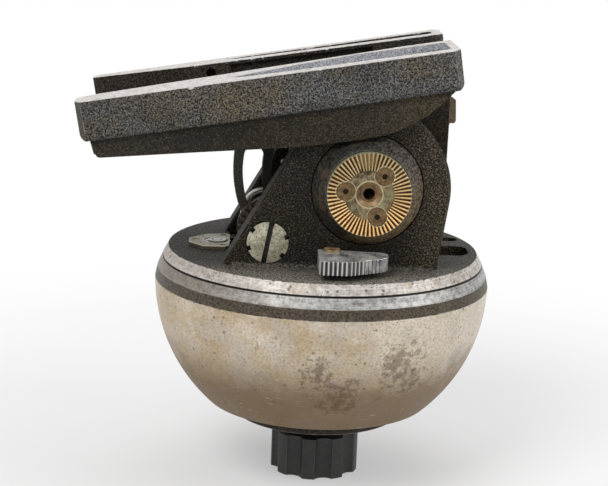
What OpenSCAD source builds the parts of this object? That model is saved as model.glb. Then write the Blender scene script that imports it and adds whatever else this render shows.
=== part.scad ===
// Fluid video head with a half ball base for a 150 mm bowl.
// The origin is the centre of the ball. +Z is the pan axis, -X is the front of the camera platform,
// and -Y is the near side, where the lock lever of the pan axis is.

/* [Ball base] */
// Radius of the half ball
ball_r = 75; // [70:0.5:80]
// Height of the flat under the ball, measured down from the ball's centre
ball_cut = 55; // [50:0.5:58]
// Wall of the ball shell
ball_wall = 6; // [5:0.5:8]
// Height of the dark band around the ball's rim
band_h = 4.7; // [3:0.1:6]
// Height of the bright ring above the band
top_ring_h = 4.7; // [4.2:0.1:6]
// Rate at which the rings above the ball's centre narrow with height
ring_taper = 0.34; // [0.2:0.01:0.45]

/* [Pan unit] */
// Height of the turntable deck's top face above the ball's centre
deck_top = 14.4; // [13:0.1:17]
// Width of the deck's bright rim, seen from above
rim_bevel = 2.55; // [1.8:0.05:4.8]
// Outer radius of the hub under the deck
hub_r = 24; // [23:0.5:28]
// Depth of the hub's lower end under the ball's centre
hub_depth = 24; // [22:0.5:27]
// Radius of the pan spindle in its bearings
spindle_r = 10; // [8:0.5:11]
// Outer radius of the pan bearings
bearing_r = 17; // [15:0.5:19]

/* [Cheeks] */
// Height of the tilt axis above the ball's centre
tilt_z = 48.5; // [47:0.25:52]
// Distance of the tilt axis behind the pan axis
tilt_x = 16; // [10:0.5:20]
// Radius of the round top of each cheek
cheek_r = 35.5; // [32:0.25:36]
// Half of the gap between the cheeks
cheek_in = 24; // [23.5:0.1:26]
// Distance of the cheeks' outer faces from the middle plane
cheek_out = 40; // [39:0.25:40.5]
// Direction in which the cheeks' front edge meets the round top
front_touch = 150; // [145:0.5:155]
// Direction in which the cheeks' rear edge meets the round top
rear_touch = -7.8; // [-12:0.1:-4]
// Bevel along the cheeks' edges
cheek_bevel = 1.2; // [0.4:0.1:2]

/* [Tilt drum] */
// Radius of the drum in its bushes
drum_r = 20; // [17:0.25:21]
// Wall of the bushes between the drum and the cheeks
bush_wall = 4; // [3:0.25:5]
// Radius of the brass rosettes
rosette_r = 17.7; // [15:0.1:18.5]
// Distance of the rosettes' tooth tops from the middle plane
rosette_face = 51.5; // [50:0.25:55]
// Number of radial teeth on a rosette
rosette_teeth = 60; // [36:2:72]
// Depth of the rosette teeth at the rim
tooth_depth = 0.8; // [0.4:0.05:1.1]
// Radius of the recess in the middle of a rosette
rosette_recess_r = 10.3; // [9:0.1:11.5]
// Radius of the thread for the pan handle's screw
handle_thread_r = 2.5; // [2:0.1:3]
// Radius of the circle of rosette screws
rosette_pcd_r = 10; // [9.5:0.1:11]

/* [Camera platform] */
// Angle by which the platform rests nose down
rest_tilt = 9.67; // [0:0.01:15]
// Distance of the platform's front end from the tilt axis
plat_front = 116; // [105:0.5:130]
// Distance of the platform's rear end from the tilt axis
plat_rear = 45.5; // [44:0.25:50]
// Half of the platform's width
plat_half = 46; // [45.5:0.1:46.4]
// Height of the rails' lower face above the tilt axis
rail_bottom = 37.4; // [36.8:0.1:40]
// Height of the rails' top face above the tilt axis
rail_top = 54; // [52:0.25:60]
// Height of the channel's floor above the tilt axis
channel_floor = 44; // [42:0.25:47]
// Distance of the skirts' outer faces from the middle plane
skirt_out = 44.5; // [43.5:0.1:45]
// Wall of the skirts
skirt_wall = 3.6; // [2.5:0.1:3.7]
// Depth of the pockets in the rails' top faces
pocket_depth = 8; // [4:0.5:12]

/* [Counterbalance] */
// Distance of the cross shaft from the tilt axis
shaft_dist = 48; // [46:0.25:50]
// Direction of the cross shaft seen from the tilt axis
shaft_angle = 210.2; // [208:0.1:213]
// Radius of the cross shaft
shaft_r = 3.5; // [3:0.1:4.5]
// Radius of the cross shaft where the fork straddles it
shaft_neck_r = 3; // [2:0.1:3.2]
// Number of teeth that a full ring of the sector gear would have
sector_teeth = 72; // [66:6:78]
// Number of teeth of the pinion
pinion_teeth = 24; // [22:1:26]
// Radius of the slotted end caps
cap_r = 8.9; // [8:0.1:10]
// Outer radius of the flat spiral spring
spring_out_r = 14.2; // [13:0.1:15]
// Thickness of the spring's strip
strip_t = 2; // [1:0.1:2.1]
// Distance from one turn of the spring to the next
spring_pitch = 2.7; // [2.6:0.05:3.2]
// Width of the spring's strip
strip_w = 8; // [5:0.5:8.5]

/* [Stop fork] */
// Outer radius of the fork's outer arm
fork_out_r = 57.8; // [56.5:0.1:60]
// Thickness of the fork's outer arm
outer_arm_t = 4.8; // [3.5:0.1:5]
// Thickness of the fork's inner arm
inner_arm_t = 4.2; // [3:0.1:5]
// Half of the fork's width across
fork_half = 4.25; // [3:0.25:5]
// Largest tilt nose down from the rest pose
tilt_down = 32; // [20:1:33]
// Largest tilt nose up from the rest pose
tilt_up = 69; // [40:1:70]

/* [Levers] */
// Thickness of the chrome lever on the deck
deck_lever_t = 5.8; // [4:0.1:7]
// Height of the chrome lever's lower face above the deck
deck_lever_gap = 2.8; // [1.5:0.1:4]
// Thickness of the lever on the far cheek
side_lever_t = 4; // [3:0.25:6]

/* [Tie-down] */
// Radius of the tie-down stud
stud_r = 6; // [5:0.5:8]
// Depth of the knob's lower end under the ball's centre
knob_end = 90; // [86:1:100]
// Radius of the tie-down knob
knob_r = 20; // [16:0.5:24]
// Radius of the clamp cup
cup_r = 38; // [32:0.5:42]

/* [Hidden] */
$fn = 72;

// Clearances
run_gap = 0.05;
face_gap = 0.1;
side_gap = 0.3;
cut = 1;

// Ball base, from the floor up
ball_floor_top = 8 - ball_cut;
neck_r = ball_r - 3;
neck_in_r = ball_r - 11;
neck_depth = 8;
band_top_r = ball_r - ring_taper * band_h * 0.65;
ring_bottom = band_h;
ring_top = band_h + top_ring_h;
ring_top_r = band_top_r - ring_taper * top_ring_h * 1.35;
ring_screw_r = neck_in_r + 4;
parting_gap = 0.3;
deck_bottom = ring_top + parting_gap;
deck_rim_r = ring_top_r;
deck_r = deck_rim_r - rim_bevel;
spigot_r = neck_in_r - 2;
spigot_bottom = deck_top - 9.4;

// Pan bearings and spindle, from the top down
nut_room_r = 10.5;
upper_bearing_top = -4;
upper_bearing_h = 8;
lower_bearing_h = 9.5;
lower_bearing_bottom = -hub_depth + 0.5;
rib_bottom = lower_bearing_bottom + lower_bearing_h;
spindle_thread_r = 6;
spindle_foot_r = 22;
spindle_foot_h = 4;
cover_h = 2;

// Tilt frame and cheeks
drum_gap = run_gap;
bush_in = cheek_in + 2;
bush_out = bush_in + 8;
seal_w = 2.5;
drum_end_in = cheek_out - 2.7;
cheek_bore_r = drum_r + bush_wall;
drum_end_r = cheek_bore_r - 0.4;
rosette_back = rosette_face - 4;
rosette_floor = rosette_face - 1;
insert_r = 3.4;
saddle_hub_r = drum_r + 6.6;
rosette_screw_angles = [173, 52.6, -68.4];

// Cross shaft, gears and spring
shaft_x = tilt_x + shaft_dist * cos(shaft_angle);
shaft_z = tilt_z + shaft_dist * sin(shaft_angle);
gear_module = 2 * shaft_dist / (sector_teeth + pinion_teeth);
sector_r = gear_module * sector_teeth / 2;
pinion_r = gear_module * pinion_teeth / 2;
addendum = 0.9 * gear_module;
dedendum = 1.25 * gear_module;
sector_y0 = -15;
sector_y1 = -11;
flange_y1 = -8.2;
spring_mid_y = 18;
cap_seat = cheek_out - 4.5;
bush_r = 6;
outer_turn_r = spring_out_r - strip_t / 2;
inner_turn_r = shaft_r + 0.3 + strip_t + 0.4;
spring_turns = (outer_turn_r - inner_turn_r) / spring_pitch;

// Wells in the deck
well_front = -42;
well_rear = -13;
well_near = -19;
well_far = 23.5;

// Fork, in directions seen from the tilt axis at rest
fork_gap_r = fork_out_r - outer_arm_t;
inner_arm_r = shaft_dist - shaft_neck_r - 0.5;
fork_tip = 201;
inner_tip = 196;
fork_taper = 1.4;
fork_mid_r = (fork_gap_r + inner_arm_r) / 2;
fork_round_r = (fork_gap_r - inner_arm_r) / 2;
// Travel left between the cross shaft and the fork's closed end at full forward tilt
fork_spare = 6.5;
fork_round_angle = shaft_angle - tilt_down - fork_spare;
fork_closed = fork_round_angle - asin(fork_round_r / fork_mid_r);

// Levers
deck_lever_x = 1.7;
deck_lever_y = -cheek_out - 6;
deck_lever_z = deck_top + deck_lever_gap;
lock_screw_r = 2.5;
side_lever_x = 43;
side_lever_z = 34;
side_lever_y = plat_half + 1;
side_stud_r = 4;
lock_disc_y0 = 20.5;
lock_disc_y1 = 23;
lock_disc_r = 32.5;

// Tilt drag unit on the far side
drag_y0 = 9.5;
drag_y1 = 19.5;
drag_r = 30;
drag_room_r = 26;

black_paint = [0.16, 0.15, 0.15];
dark_paint = [0.22, 0.2, 0.18];
bare_steel = [0.72, 0.71, 0.68];
worn_silver = [0.66, 0.63, 0.57];
brass = [0.66, 0.55, 0.35];
dark_bronze = [0.36, 0.3, 0.22];
bright_chrome = [0.78, 0.78, 0.79];
black_rubber = [0.09, 0.09, 0.09];

// Points along an arc, from angle a0 to angle a1
function arc(centre, r, a0, a1, n = 24) =
    [for (i = [0:n]) let (a = a0 + (a1 - a0) * i / n) centre + r * [cos(a), sin(a)]];

// Foot of a line that touches the cheek's round top in the given direction
function cheek_foot(angle) = tilt_x + (cheek_r - sin(angle) * (deck_top - tilt_z)) / cos(angle);

// Cylinder or cone along Y, with radius r1 at y0 and r2 at y1
module round_y(y0, y1, r1, r2) {
    translate([0, y0, 0]) rotate([-90, 0, 0]) cylinder(h = y1 - y0, r1 = r1, r2 = r2);
}

// Plate with an outline in X and Z, from y0 to y1
module plate_y(y0, y1) {
    translate([0, y1, 0]) rotate([90, 0, 0]) linear_extrude(y1 - y0) children();
}

// Ring around Z
module ring_z(z0, z1, r_in, r_out) {
    difference() {
        translate([0, 0, z0]) cylinder(h = z1 - z0, r = r_out);
        translate([0, 0, z0 - cut]) cylinder(h = z1 - z0 + 2 * cut, r = r_in);
    }
}

// Ring around Y
module ring_y(y0, y1, r_in, r_out) {
    difference() {
        round_y(y0, y1, r_out, r_out);
        round_y(y0 - cut, y1 + cut, r_in, r_in);
    }
}

// Places its children on the tilt axis, in the platform's own directions
module on_tilt() {
    translate([tilt_x, 0, tilt_z]) rotate([0, -rest_tilt, 0]) children();
}

// Places its children on the tilt axis, in the head's directions
module at_tilt() {
    translate([tilt_x, 0, tilt_z]) children();
}

// Places its children on the cross shaft
module at_shaft() {
    translate([shaft_x, 0, shaft_z]) children();
}

// Repeats its children on both sides of the middle plane
module both_sides() {
    children();
    mirror([0, 1, 0]) children();
}

// Repeats its children evenly around Z
module around_z(count, r, start = 0) {
    for (i = [0:count - 1]) rotate([0, 0, start + i * 360 / count]) translate([r, 0, 0]) children();
}

// Cap screw with a hex socket, head up, with its head's seat at z = 0
module cap_screw(shank_r, length, head_r, head_h, socket_r = 0) {
    difference() {
        union() {
            cylinder(h = head_h, r = head_r);
            translate([0, 0, -length]) cylinder(h = length + cut / 2, r = shank_r);
        }
        translate([0, 0, head_h * 0.45]) cylinder(h = head_h, r = socket_r > 0 ? socket_r : head_r * 0.5, $fn = 6);
    }
}

// Slotted screw with a flat head, head up, with its head's seat at z = 0
module slotted_screw(shank_r, length, head_r, head_h, slot_w) {
    difference() {
        union() {
            cylinder(h = head_h, r = head_r);
            translate([0, 0, -length]) cylinder(h = length + cut / 2, r = shank_r);
        }
        translate([-head_r - cut, -slot_w / 2, head_h * 0.5]) cube([2 * head_r + 2 * cut, slot_w, head_h]);
    }
}

// Ball base

module ball_shell() {
    cut_angle = asin(ball_cut / ball_r);
    in_r = ball_r - ball_wall;
    low_angle = asin(-ball_floor_top / in_r);
    high_angle = asin(neck_depth / in_r);
    color(worn_silver) difference() {
        rotate_extrude($fn = 120) polygon(concat(
            [[0, -ball_cut]],
            arc([0, 0], ball_r, -cut_angle, 0, 30),
            [[neck_r, 0], [neck_r, band_h], [neck_in_r, band_h], [neck_in_r, -neck_depth]],
            arc([0, 0], in_r, -high_angle, -low_angle, 24),
            [[0, ball_floor_top]]));
        translate([0, 0, -ball_cut - cut]) cylinder(h = ball_cut, r = stud_r);
        around_z(6, spindle_foot_r - 4) translate([0, 0, ball_floor_top - 6]) cylinder(h = 7, r = 2);
        around_z(6, ring_screw_r, 30) translate([0, 0, band_h - 8]) cylinder(h = 9, r = 2);
    }
}

module band_ring() {
    color(dark_bronze) rotate_extrude($fn = 120)
        polygon([[neck_r, 0], [ball_r, 0], [band_top_r, band_h], [neck_r, band_h]]);
}

module ball_top_ring() {
    color(bare_steel) difference() {
        rotate_extrude($fn = 120)
            polygon([[neck_in_r, ring_bottom], [band_top_r, ring_bottom], [ring_top_r, ring_top],
                [neck_in_r, ring_top]]);
        around_z(6, ring_screw_r, 30) {
            translate([0, 0, ring_bottom - cut]) cylinder(h = top_ring_h + 2 * cut, r = 2);
            translate([0, 0, ring_top - 2.2]) cylinder(h = 3, r = 3.4);
        }
    }
}

module top_ring_screws() {
    color(bare_steel) around_z(6, ring_screw_r, 30)
        translate([0, 0, ring_top - 2.2]) cap_screw(2, top_ring_h + 4.5, 3.3, 2);
}

module pan_seal() {
    color(black_rubber) ring_z(ring_bottom + 0.2, ring_top - 0.6, spigot_r + side_gap, neck_in_r);
}

module pan_spindle() {
    foot_top = ball_floor_top + spindle_foot_h;
    color(bare_steel) difference() {
        union() {
            translate([0, 0, ball_floor_top]) cylinder(h = spindle_foot_h, r = spindle_foot_r);
            translate([0, 0, ball_floor_top]) cylinder(h = lower_bearing_bottom - face_gap - ball_floor_top,
                r = spindle_r + 2.5);
            translate([0, 0, foot_top]) cylinder(h = upper_bearing_top - foot_top, r = spindle_r);
            translate([0, 0, upper_bearing_top - cut]) cylinder(h = 8 + cut, r = spindle_thread_r);
        }
        around_z(6, spindle_foot_r - 4) translate([0, 0, ball_floor_top - cut]) cylinder(h = 7, r = 2);
    }
}

module spindle_screws() {
    color(bare_steel) around_z(6, spindle_foot_r - 4)
        translate([0, 0, ball_floor_top + spindle_foot_h]) cap_screw(2, 9.5, 3.4, 3.5);
}

module spindle_nut() {
    color(bare_steel) difference() {
        union() {
            translate([0, 0, upper_bearing_top + face_gap + 1.2]) cylinder(h = 5, r = 9.6, $fn = 6);
            translate([0, 0, upper_bearing_top + face_gap]) cylinder(h = 1.2, r = 9.8);
        }
        translate([0, 0, upper_bearing_top - cut]) cylinder(h = 10, r = spindle_thread_r);
    }
}

// Viscous drag of the pan axis: a cup with two walls, and the rotor's skirt in the grease between them
drag_cup_r = sqrt(pow(ball_r - ball_wall, 2) - pow(ball_floor_top, 2)) - 1.5;
drag_wall = 3;
skirt_r = drag_cup_r - 8;
skirt_low = ball_floor_top + spindle_foot_h + 2;

module pan_drag_cup() {
    cup_top = -hub_depth - 5;
    color(bare_steel) {
        ring_z(ball_floor_top, ball_floor_top + spindle_foot_h, spindle_foot_r + 2, drag_cup_r);
        ring_z(ball_floor_top + spindle_foot_h, cup_top, skirt_r - 11, skirt_r - 11 + drag_wall);
        ring_z(ball_floor_top + spindle_foot_h, cup_top, drag_cup_r - drag_wall, drag_cup_r);
    }
}

module tie_down_stud() {
    color(bare_steel) {
        translate([0, 0, -knob_end + 6]) cylinder(h = knob_end - 6 + ball_floor_top, r = stud_r);
    }
}

// Tie-down under the ball

module clamp_cup() {
    cup_top = -ball_cut - 3;
    color(worn_silver) rotate_extrude($fn = 96) polygon([[stud_r + 0.6, cup_top - 9], [18, cup_top - 9],
        [cup_r, cup_top - 4], [cup_r, cup_top], [cup_r - 4, cup_top], [cup_r - 6, cup_top - 3],
        [18, cup_top - 5], [stud_r + 0.6, cup_top - 5]]);
}

module tie_down_knob() {
    knob_top = -ball_cut - 3 - 9 - face_gap;
    insert_r = stud_r + 4;
    color(black_rubber) difference() {
        union() {
            translate([0, 0, knob_top - 4]) cylinder(h = 4, r = insert_r + 3);
            translate([0, 0, -knob_end]) cylinder(h = knob_end + knob_top - 4, r = knob_r);
        }
        translate([0, 0, -knob_end - cut]) cylinder(h = knob_end, r = insert_r);
        around_z(9, knob_r + 2.5) translate([0, 0, -knob_end - cut]) cylinder(h = knob_end, r = 5);
    }
}

module knob_insert() {
    knob_top = -ball_cut - 3 - 9 - face_gap;
    color(brass) ring_z(-knob_end + 4, knob_top, stud_r + run_gap, stud_r + 4);
}

// Pan casting: deck, cheeks and hub in one piece

module deck_body() {
    rotate_extrude($fn = 120) polygon([[0, spigot_bottom], [spigot_r, spigot_bottom], [spigot_r, deck_bottom],
        [deck_rim_r, deck_bottom], [deck_r, deck_top], [0, deck_top]]);
    translate([0, 0, -hub_depth]) cylinder(h = hub_depth + spigot_bottom + cut, r = hub_r);
}

module deck_cuts() {
    // Access to the spindle nut, and its cover's seat
    translate([0, 0, upper_bearing_top - cut]) cylinder(h = deck_top - upper_bearing_top + 2 * cut, r = nut_room_r);
    // Bearing seats and the rib between them
    translate([0, 0, upper_bearing_top - upper_bearing_h]) cylinder(h = upper_bearing_h, r = bearing_r);
    translate([0, 0, -hub_depth - cut]) cylinder(h = rib_bottom + hub_depth + cut, r = bearing_r);
    translate([0, 0, rib_bottom - cut]) cylinder(h = upper_bearing_h + 2 * cut, r = bearing_r - 4);
    around_z(6, hub_r - 3.5) translate([0, 0, -hub_depth - cut]) cylinder(h = 8, r = 1.5);
    // Well for the counterbalance unit
    translate([well_front, well_near, spigot_bottom - cut])
        cube([well_rear - well_front, well_far - well_near, deck_top]);
    // Way for the stop fork in the hub's top
    translate([well_front, -fork_half - 1.75, 1]) cube([well_rear - well_front, 2 * fork_half + 3.5, 8]);
    // Groove under the sector gear
    at_tilt() round_y(sector_y0 - 0.7, sector_y1 + 0.7, sector_r + 2, sector_r + 2);
    // Slots behind the cheeks
    slot_floor = deck_top - 4;
    translate([0, 0, slot_floor]) linear_extrude(5)
        polygon(concat([[40, -12]], arc([58, -4.6], 7.4, -90, 0, 8), arc([60.5, 2], 5, 0, 90, 8), [[40, 7]]));
    translate([0, 0, slot_floor]) linear_extrude(5)
        polygon(concat([[44, 17.2]], arc([60, 20.8], 3.6, -90, 90, 10), [[44, 24.4]]));
    // Screws of the level, the pan lock and the drag housing
    for (p = level_screw_points) translate([p[0], p[1], deck_top - 4]) cylinder(h = 5, r = 1);
    translate([deck_lever_x, deck_lever_y, 0]) cylinder(h = deck_top + cut, r = lock_screw_r + 0.1);
}

module cheek_outline() {
    polygon(concat([[cheek_foot(rear_touch), deck_top - 0.5]],
        arc([tilt_x, tilt_z], cheek_r, rear_touch, front_touch, 40),
        [[cheek_foot(front_touch), deck_top - 0.5]]));
}

// Bevels of one cheek's outer face and inner face
module cheek_bevels(y_face, out) {
    b = cheek_bevel;
    e = 0.5;
    lap = 1.2;
    short_by = 0.8;
    edge = [[cheek_r - b - e, out * e], [cheek_r + e, out * e], [cheek_r + e, -out * (b + e)]];
    translate([0, y_face, 0]) at_tilt() {
        rotate([90, 0, 0]) rotate([0, 0, rear_touch + short_by])
            rotate_extrude(angle = front_touch - rear_touch - 2 * short_by, $fn = 96)
                polygon([for (p = edge) [p[0], -p[1]]]);
        rotate([0, -front_touch, 0]) translate([0, 0, -lap]) linear_extrude(80 + lap) polygon(edge);
        rotate([0, -rear_touch, 0]) translate([0, 0, -60]) linear_extrude(60 + lap) polygon(edge);
    }
}

// Concave fillet between a cheek's outer face and the deck
module foot_fillet() {
    r = 2.5;
    dip = 0.06;
    x0 = cheek_foot(front_touch) + r + cheek_bevel;
    x1 = cheek_foot(rear_touch) - cheek_bevel - 0.2;
    translate([x0, cheek_out, deck_top]) rotate([90, 0, 90]) linear_extrude(x1 - x0)
        polygon(concat([[-0.2, -0.2], [r - dip, -0.2]], arc([r - dip, r - dip], r, 270, 180, 8), [[-0.2, r - dip]]));
}

module cheek() {
    difference() {
        union() {
            plate_y(cheek_in, cheek_out) cheek_outline();
            foot_fillet();
        }
        cheek_bevels(cheek_out, 1);
        cheek_bevels(cheek_in, -1);
    }
}

module cheek_bores() {
    at_tilt() {
        round_y(bush_in, cheek_out + cut, cheek_bore_r, cheek_bore_r);
        round_y(cheek_in - cut, bush_in + cut, drum_r + 1, drum_r + 1);
    }
    at_shaft() {
        round_y(cheek_in - cut, cheek_out, bush_r, bush_r);
        round_y(cap_seat, cheek_out + cut, cap_r + side_gap, cap_r + side_gap);
    }
}

module pan_casting() {
    color(black_paint) difference() {
        union() {
            deck_body();
            both_sides() cheek();
        }
        deck_cuts();
        both_sides() cheek_bores();
        translate([side_lever_x, cheek_in - cut, side_lever_z])
            round_y(0, cheek_out - cheek_in + 2 * cut, side_stud_r + 0.1, side_stud_r + 0.1);
        for (x = [6, 26]) translate([x, (drag_y0 + 17.5) / 2, deck_top - 6]) cylinder(h = 7, r = 1.5);
    }
}

module spindle_cover() {
    color(black_paint) translate([0, 0, deck_top - cover_h - 1.5]) cylinder(h = cover_h, r = nut_room_r);
}

// Rolling bearing drawn as one ring with its shield grooves
module bearing(z0, h) {
    color(bare_steel) difference() {
        ring_z(z0, z0 + h, spindle_r + run_gap, bearing_r);
        for (z = [z0 - cut, z0 + h - 0.4]) ring_z(z, z + cut + 0.4, spindle_r + 2.2, bearing_r - 1.8);
    }
}

module lower_bearing() {
    bearing(lower_bearing_bottom, lower_bearing_h);
}

module upper_bearing() {
    bearing(upper_bearing_top - upper_bearing_h, upper_bearing_h);
}

module pan_drag_rotor() {
    color(bare_steel) difference() {
        union() {
            ring_z(-hub_depth - 3, -hub_depth, spindle_r + 3, skirt_r);
            ring_z(skirt_low, -hub_depth - 3, skirt_r - drag_wall, skirt_r);
        }
        around_z(6, hub_r - 3.5) translate([0, 0, -hub_depth - 4]) cylinder(h = 8, r = 1.5);
    }
}

module rotor_screws() {
    color(bare_steel) around_z(6, hub_r - 3.5)
        translate([0, 0, -hub_depth - 3]) rotate([180, 0, 0]) cap_screw(1.5, 9, 2.8, 2);
}

// Bull's-eye level on the deck
level_x = 21.75 - deck_r;
level_y = -1;
level_r = 6;
level_h = 1.6;
level_sink = 1;
level_screw_points = [for (p = [[-9.6, 0.8], [3.2, -9.4], [3.2, 10.6]]) [level_x + p[0], level_y + p[1]]];

module level_outline() {
    polygon([[-12.6, 3], [-12.6, -4], [-6.2, -11.8], [3.8, -12], [5.6, -10.2], [5.6, 11.4], [3.8, 13.2],
        [-4.9, 11.6]]);
}

module level_frame() {
    color(bare_steel) difference() {
        translate([level_x, level_y, deck_top]) linear_extrude(level_h) level_outline();
        translate([level_x, level_y, deck_top - cut]) cylinder(h = level_h + 2 * cut, r = level_r);
        for (p = level_screw_points) translate([p[0], p[1], deck_top - cut]) {
            cylinder(h = level_h + 2 * cut, r = 1);
            translate([0, 0, cut + level_h - level_sink]) cylinder(h = level_h, r = 1.9);
        }
    }
}

module level_vial() {
    color([0.8, 0.85, 0.7]) translate([level_x, level_y, deck_top]) difference() {
        union() {
            cylinder(h = level_h - 0.2, r = level_r);
            translate([0, 0, level_h - 0.3]) cylinder(h = 0.7, r1 = level_r - 1, r2 = level_r - 2);
        }
        translate([0, 0, level_h]) ring_z(0, cut, 2, 2.4);
    }
}

module level_screws() {
    color(bare_steel) for (p = level_screw_points)
        translate([p[0], p[1], deck_top + level_h - level_sink])
            slotted_screw(1, level_h + 3.5 - level_sink, 1.7, 0.7, 0.5);
}

// Shoe that the pan lock's screw draws against the ball's neck
module pan_lock_shoe() {
    shoe_top = spigot_bottom - face_gap;
    color(dark_bronze) difference() {
        intersection() {
            translate([0, 0, shoe_top - 6]) cylinder(h = 6, r = neck_in_r - side_gap);
            translate([deck_lever_x - 8, -neck_in_r - cut, shoe_top - 7])
                cube([16, neck_in_r + cut + deck_lever_y + 7, 8]);
        }
        translate([deck_lever_x, deck_lever_y, shoe_top - 7]) cylinder(h = 8, r = lock_screw_r + run_gap);
    }
}

// Counterbalance unit

module spring_cap() {
    notches = [17.5, 78, 141, 198, 261, 319];
    notch_in = 1.4;
    notch_w = 2.1;
    color(worn_silver) at_shaft() difference() {
        round_y(-cheek_out, -cap_seat, cap_r, cap_r);
        for (a = notches) rotate([0, -a, 0])
            translate([cap_r - notch_in, -cheek_out - cut, -notch_w / 2]) cube([2 * notch_in, cut + 2.4, notch_w]);
        rotate([0, 10, 0]) translate([-1.05, -cheek_out - cut, -cap_r - cut]) cube([2.1, 3, 2 * cap_r + 2 * cut]);
    }
}

module spring_cap_near() {
    spring_cap();
}

module spring_cap_far() {
    mirror([0, 1, 0]) spring_cap();
}

module shaft_bushes() {
    color(brass) both_sides() at_shaft() ring_y(cheek_in, cheek_in + 8, shaft_r + run_gap, bush_r);
}

module counterbalance_shaft() {
    shaft_end = cap_seat - 0.5;
    color(bare_steel) at_shaft() {
        round_y(-shaft_end, -fork_half - 1.5, shaft_r, shaft_r);
        round_y(-fork_half - 1.5, fork_half + 1.5, shaft_neck_r, shaft_neck_r);
        round_y(fork_half + 1.5, shaft_end, shaft_r, shaft_r);
    }
}

// Involute of a base circle: the angle that its curve has turned through at radius ratio cosine c
function inv(c) = tan(acos(c)) * 180 / PI - acos(c);

// Half of a tooth's angle at radius r, for a gear of z teeth
function tooth_half(r, z) = let (pitch_r = gear_module * z / 2, base_r = pitch_r * cos(20), backlash = 0.06)
    90 / z - backlash / pitch_r * 180 / PI + inv(cos(20)) - (r > base_r ? inv(base_r / r) : 0);

// Outline of one tooth around direction 0, from root to root
function tooth(z, root_r, tip_r, n = 4) =
    let (base_r = gear_module * z / 2 * cos(20), r0 = max(root_r, base_r),
        side = concat([root_r], [for (i = [0:n]) r0 + (tip_r - r0) * i / n]))
    concat([for (r = side) r * [cos(-tooth_half(r, z)), sin(-tooth_half(r, z))]],
        [for (i = [len(side) - 1:-1:0]) let (r = side[i]) r * [cos(tooth_half(r, z)), sin(tooth_half(r, z))]]);

function turned(points, a) = [for (p = points) [p[0] * cos(a) - p[1] * sin(a), p[0] * sin(a) + p[1] * cos(a)]];

module counterbalance_pinion() {
    step = 360 / pinion_teeth;
    first = shaft_angle - 180 + step / 2;
    root_r = pinion_r - dedendum;
    color(dark_bronze) at_shaft() difference() {
        union() {
            plate_y(sector_y0, sector_y1) polygon([for (i = [0:pinion_teeth - 1])
                each turned(tooth(pinion_teeth, root_r, pinion_r + addendum), first + i * step)]);
            round_y(sector_y1, flange_y1 - 2.5, root_r - 1.5, root_r - 1.5);
            round_y(flange_y1 - 2.5, flange_y1, pinion_r + addendum + 0.5, pinion_r + addendum + 0.5);
        }
        round_y(sector_y0 - cut, flange_y1 + cut, shaft_r, shaft_r);
    }
}

// Flat spiral spring. Its path lies in X and Z: from the anchor along the well's floor,
// then inwards around the shaft, and last square to the shaft.
spring_steps = 24;
anchor_face = well_front + 2.5;
inner_end_r = shaft_r + 0.3;
spiral_count = round(spring_turns * spring_steps);
last_angle = -90 + spiral_count * 360 / spring_steps;
spring_path = concat(
    [[anchor_face + 0.3 - shaft_x, -outer_turn_r], [anchor_face + 2.3 - shaft_x, -outer_turn_r]],
    [for (i = [0:spiral_count]) let (a = -90 + i * 360 / spring_steps,
        r = outer_turn_r - spring_pitch * i / spring_steps) r * [cos(a), sin(a)]],
    [let (a = last_angle + 12, r = inner_turn_r - 0.5) r * [cos(a), sin(a)],
        let (a = last_angle + 12) inner_end_r * [cos(a), sin(a)]]);

function unit(v) = v / norm(v);
function left_of(v) = [-v[1], v[0]];

// Half the strip's thickness, square to the path, and mitred where the path bends
function strip_side(p, i) =
    i == 0 ? strip_t / 2 * left_of(unit(p[1] - p[0])) :
    i == len(p) - 1 ? strip_t / 2 * left_of(unit(p[i] - p[i - 1])) :
    let (a = unit(p[i] - p[i - 1]), b = unit(p[i + 1] - p[i]), m = unit(left_of(a + b)))
    strip_t / 2 * m / max(0.6, m * left_of(a));

// Section with rounded edges, as six corners, at one point of the path
function strip_ring(p, i) = let (s = strip_side(p, i), h = strip_w / 2, e = strip_t * 0.35) [
    [p[i][0] + s[0], -h + e, p[i][1] + s[1]], [p[i][0], -h, p[i][1]], [p[i][0] - s[0], -h + e, p[i][1] - s[1]],
    [p[i][0] - s[0], h - e, p[i][1] - s[1]], [p[i][0], h, p[i][1]], [p[i][0] + s[0], h - e, p[i][1] + s[1]]];

// Least distance between the faces of turns that lie next to each other
spring_gap = min([for (i = [2:spiral_count + 2], j = [2:spiral_count + 2]) if (j > i + spring_steps / 2)
    norm(spring_path[i] + strip_side(spring_path, i) - spring_path[j] + strip_side(spring_path, j))]);

module counterbalance_spring() {
    echo(least_gap_of_the_spring = spring_gap);
    rings = len(spring_path);
    points = [for (i = [0:rings - 1]) each strip_ring(spring_path, i)];
    walls = [for (i = [0:rings - 2], k = [0:5]) let (a = i * 6 + k, b = i * 6 + (k + 1) % 6)
        each [[a, a + 6, b], [b, a + 6, b + 6]]];
    last = (rings - 1) * 6;
    ends = [for (k = [1:4]) each [[0, k, k + 1], [last, last + k + 1, last + k]]];
    color(bare_steel) translate([shaft_x, spring_mid_y, shaft_z]) polyhedron(points, concat(walls, ends));
}

module spring_anchor() {
    anchor_w = strip_w + 1;
    color(dark_bronze) translate([well_front, spring_mid_y - anchor_w / 2, shaft_z - outer_turn_r - 2.5])
        cube([anchor_face - well_front, anchor_w, 5]);
}

// Tilt bearings, seals, drag and lock

module tilt_bushes() {
    color(brass) both_sides() at_tilt() ring_y(bush_in, bush_out, drum_r, cheek_bore_r);
}

module tilt_seals() {
    color(black_rubber) both_sides() at_tilt() ring_y(bush_out + 0.2, bush_out + 0.2 + seal_w, drum_r + 0.2,
        cheek_bore_r);
}

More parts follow.
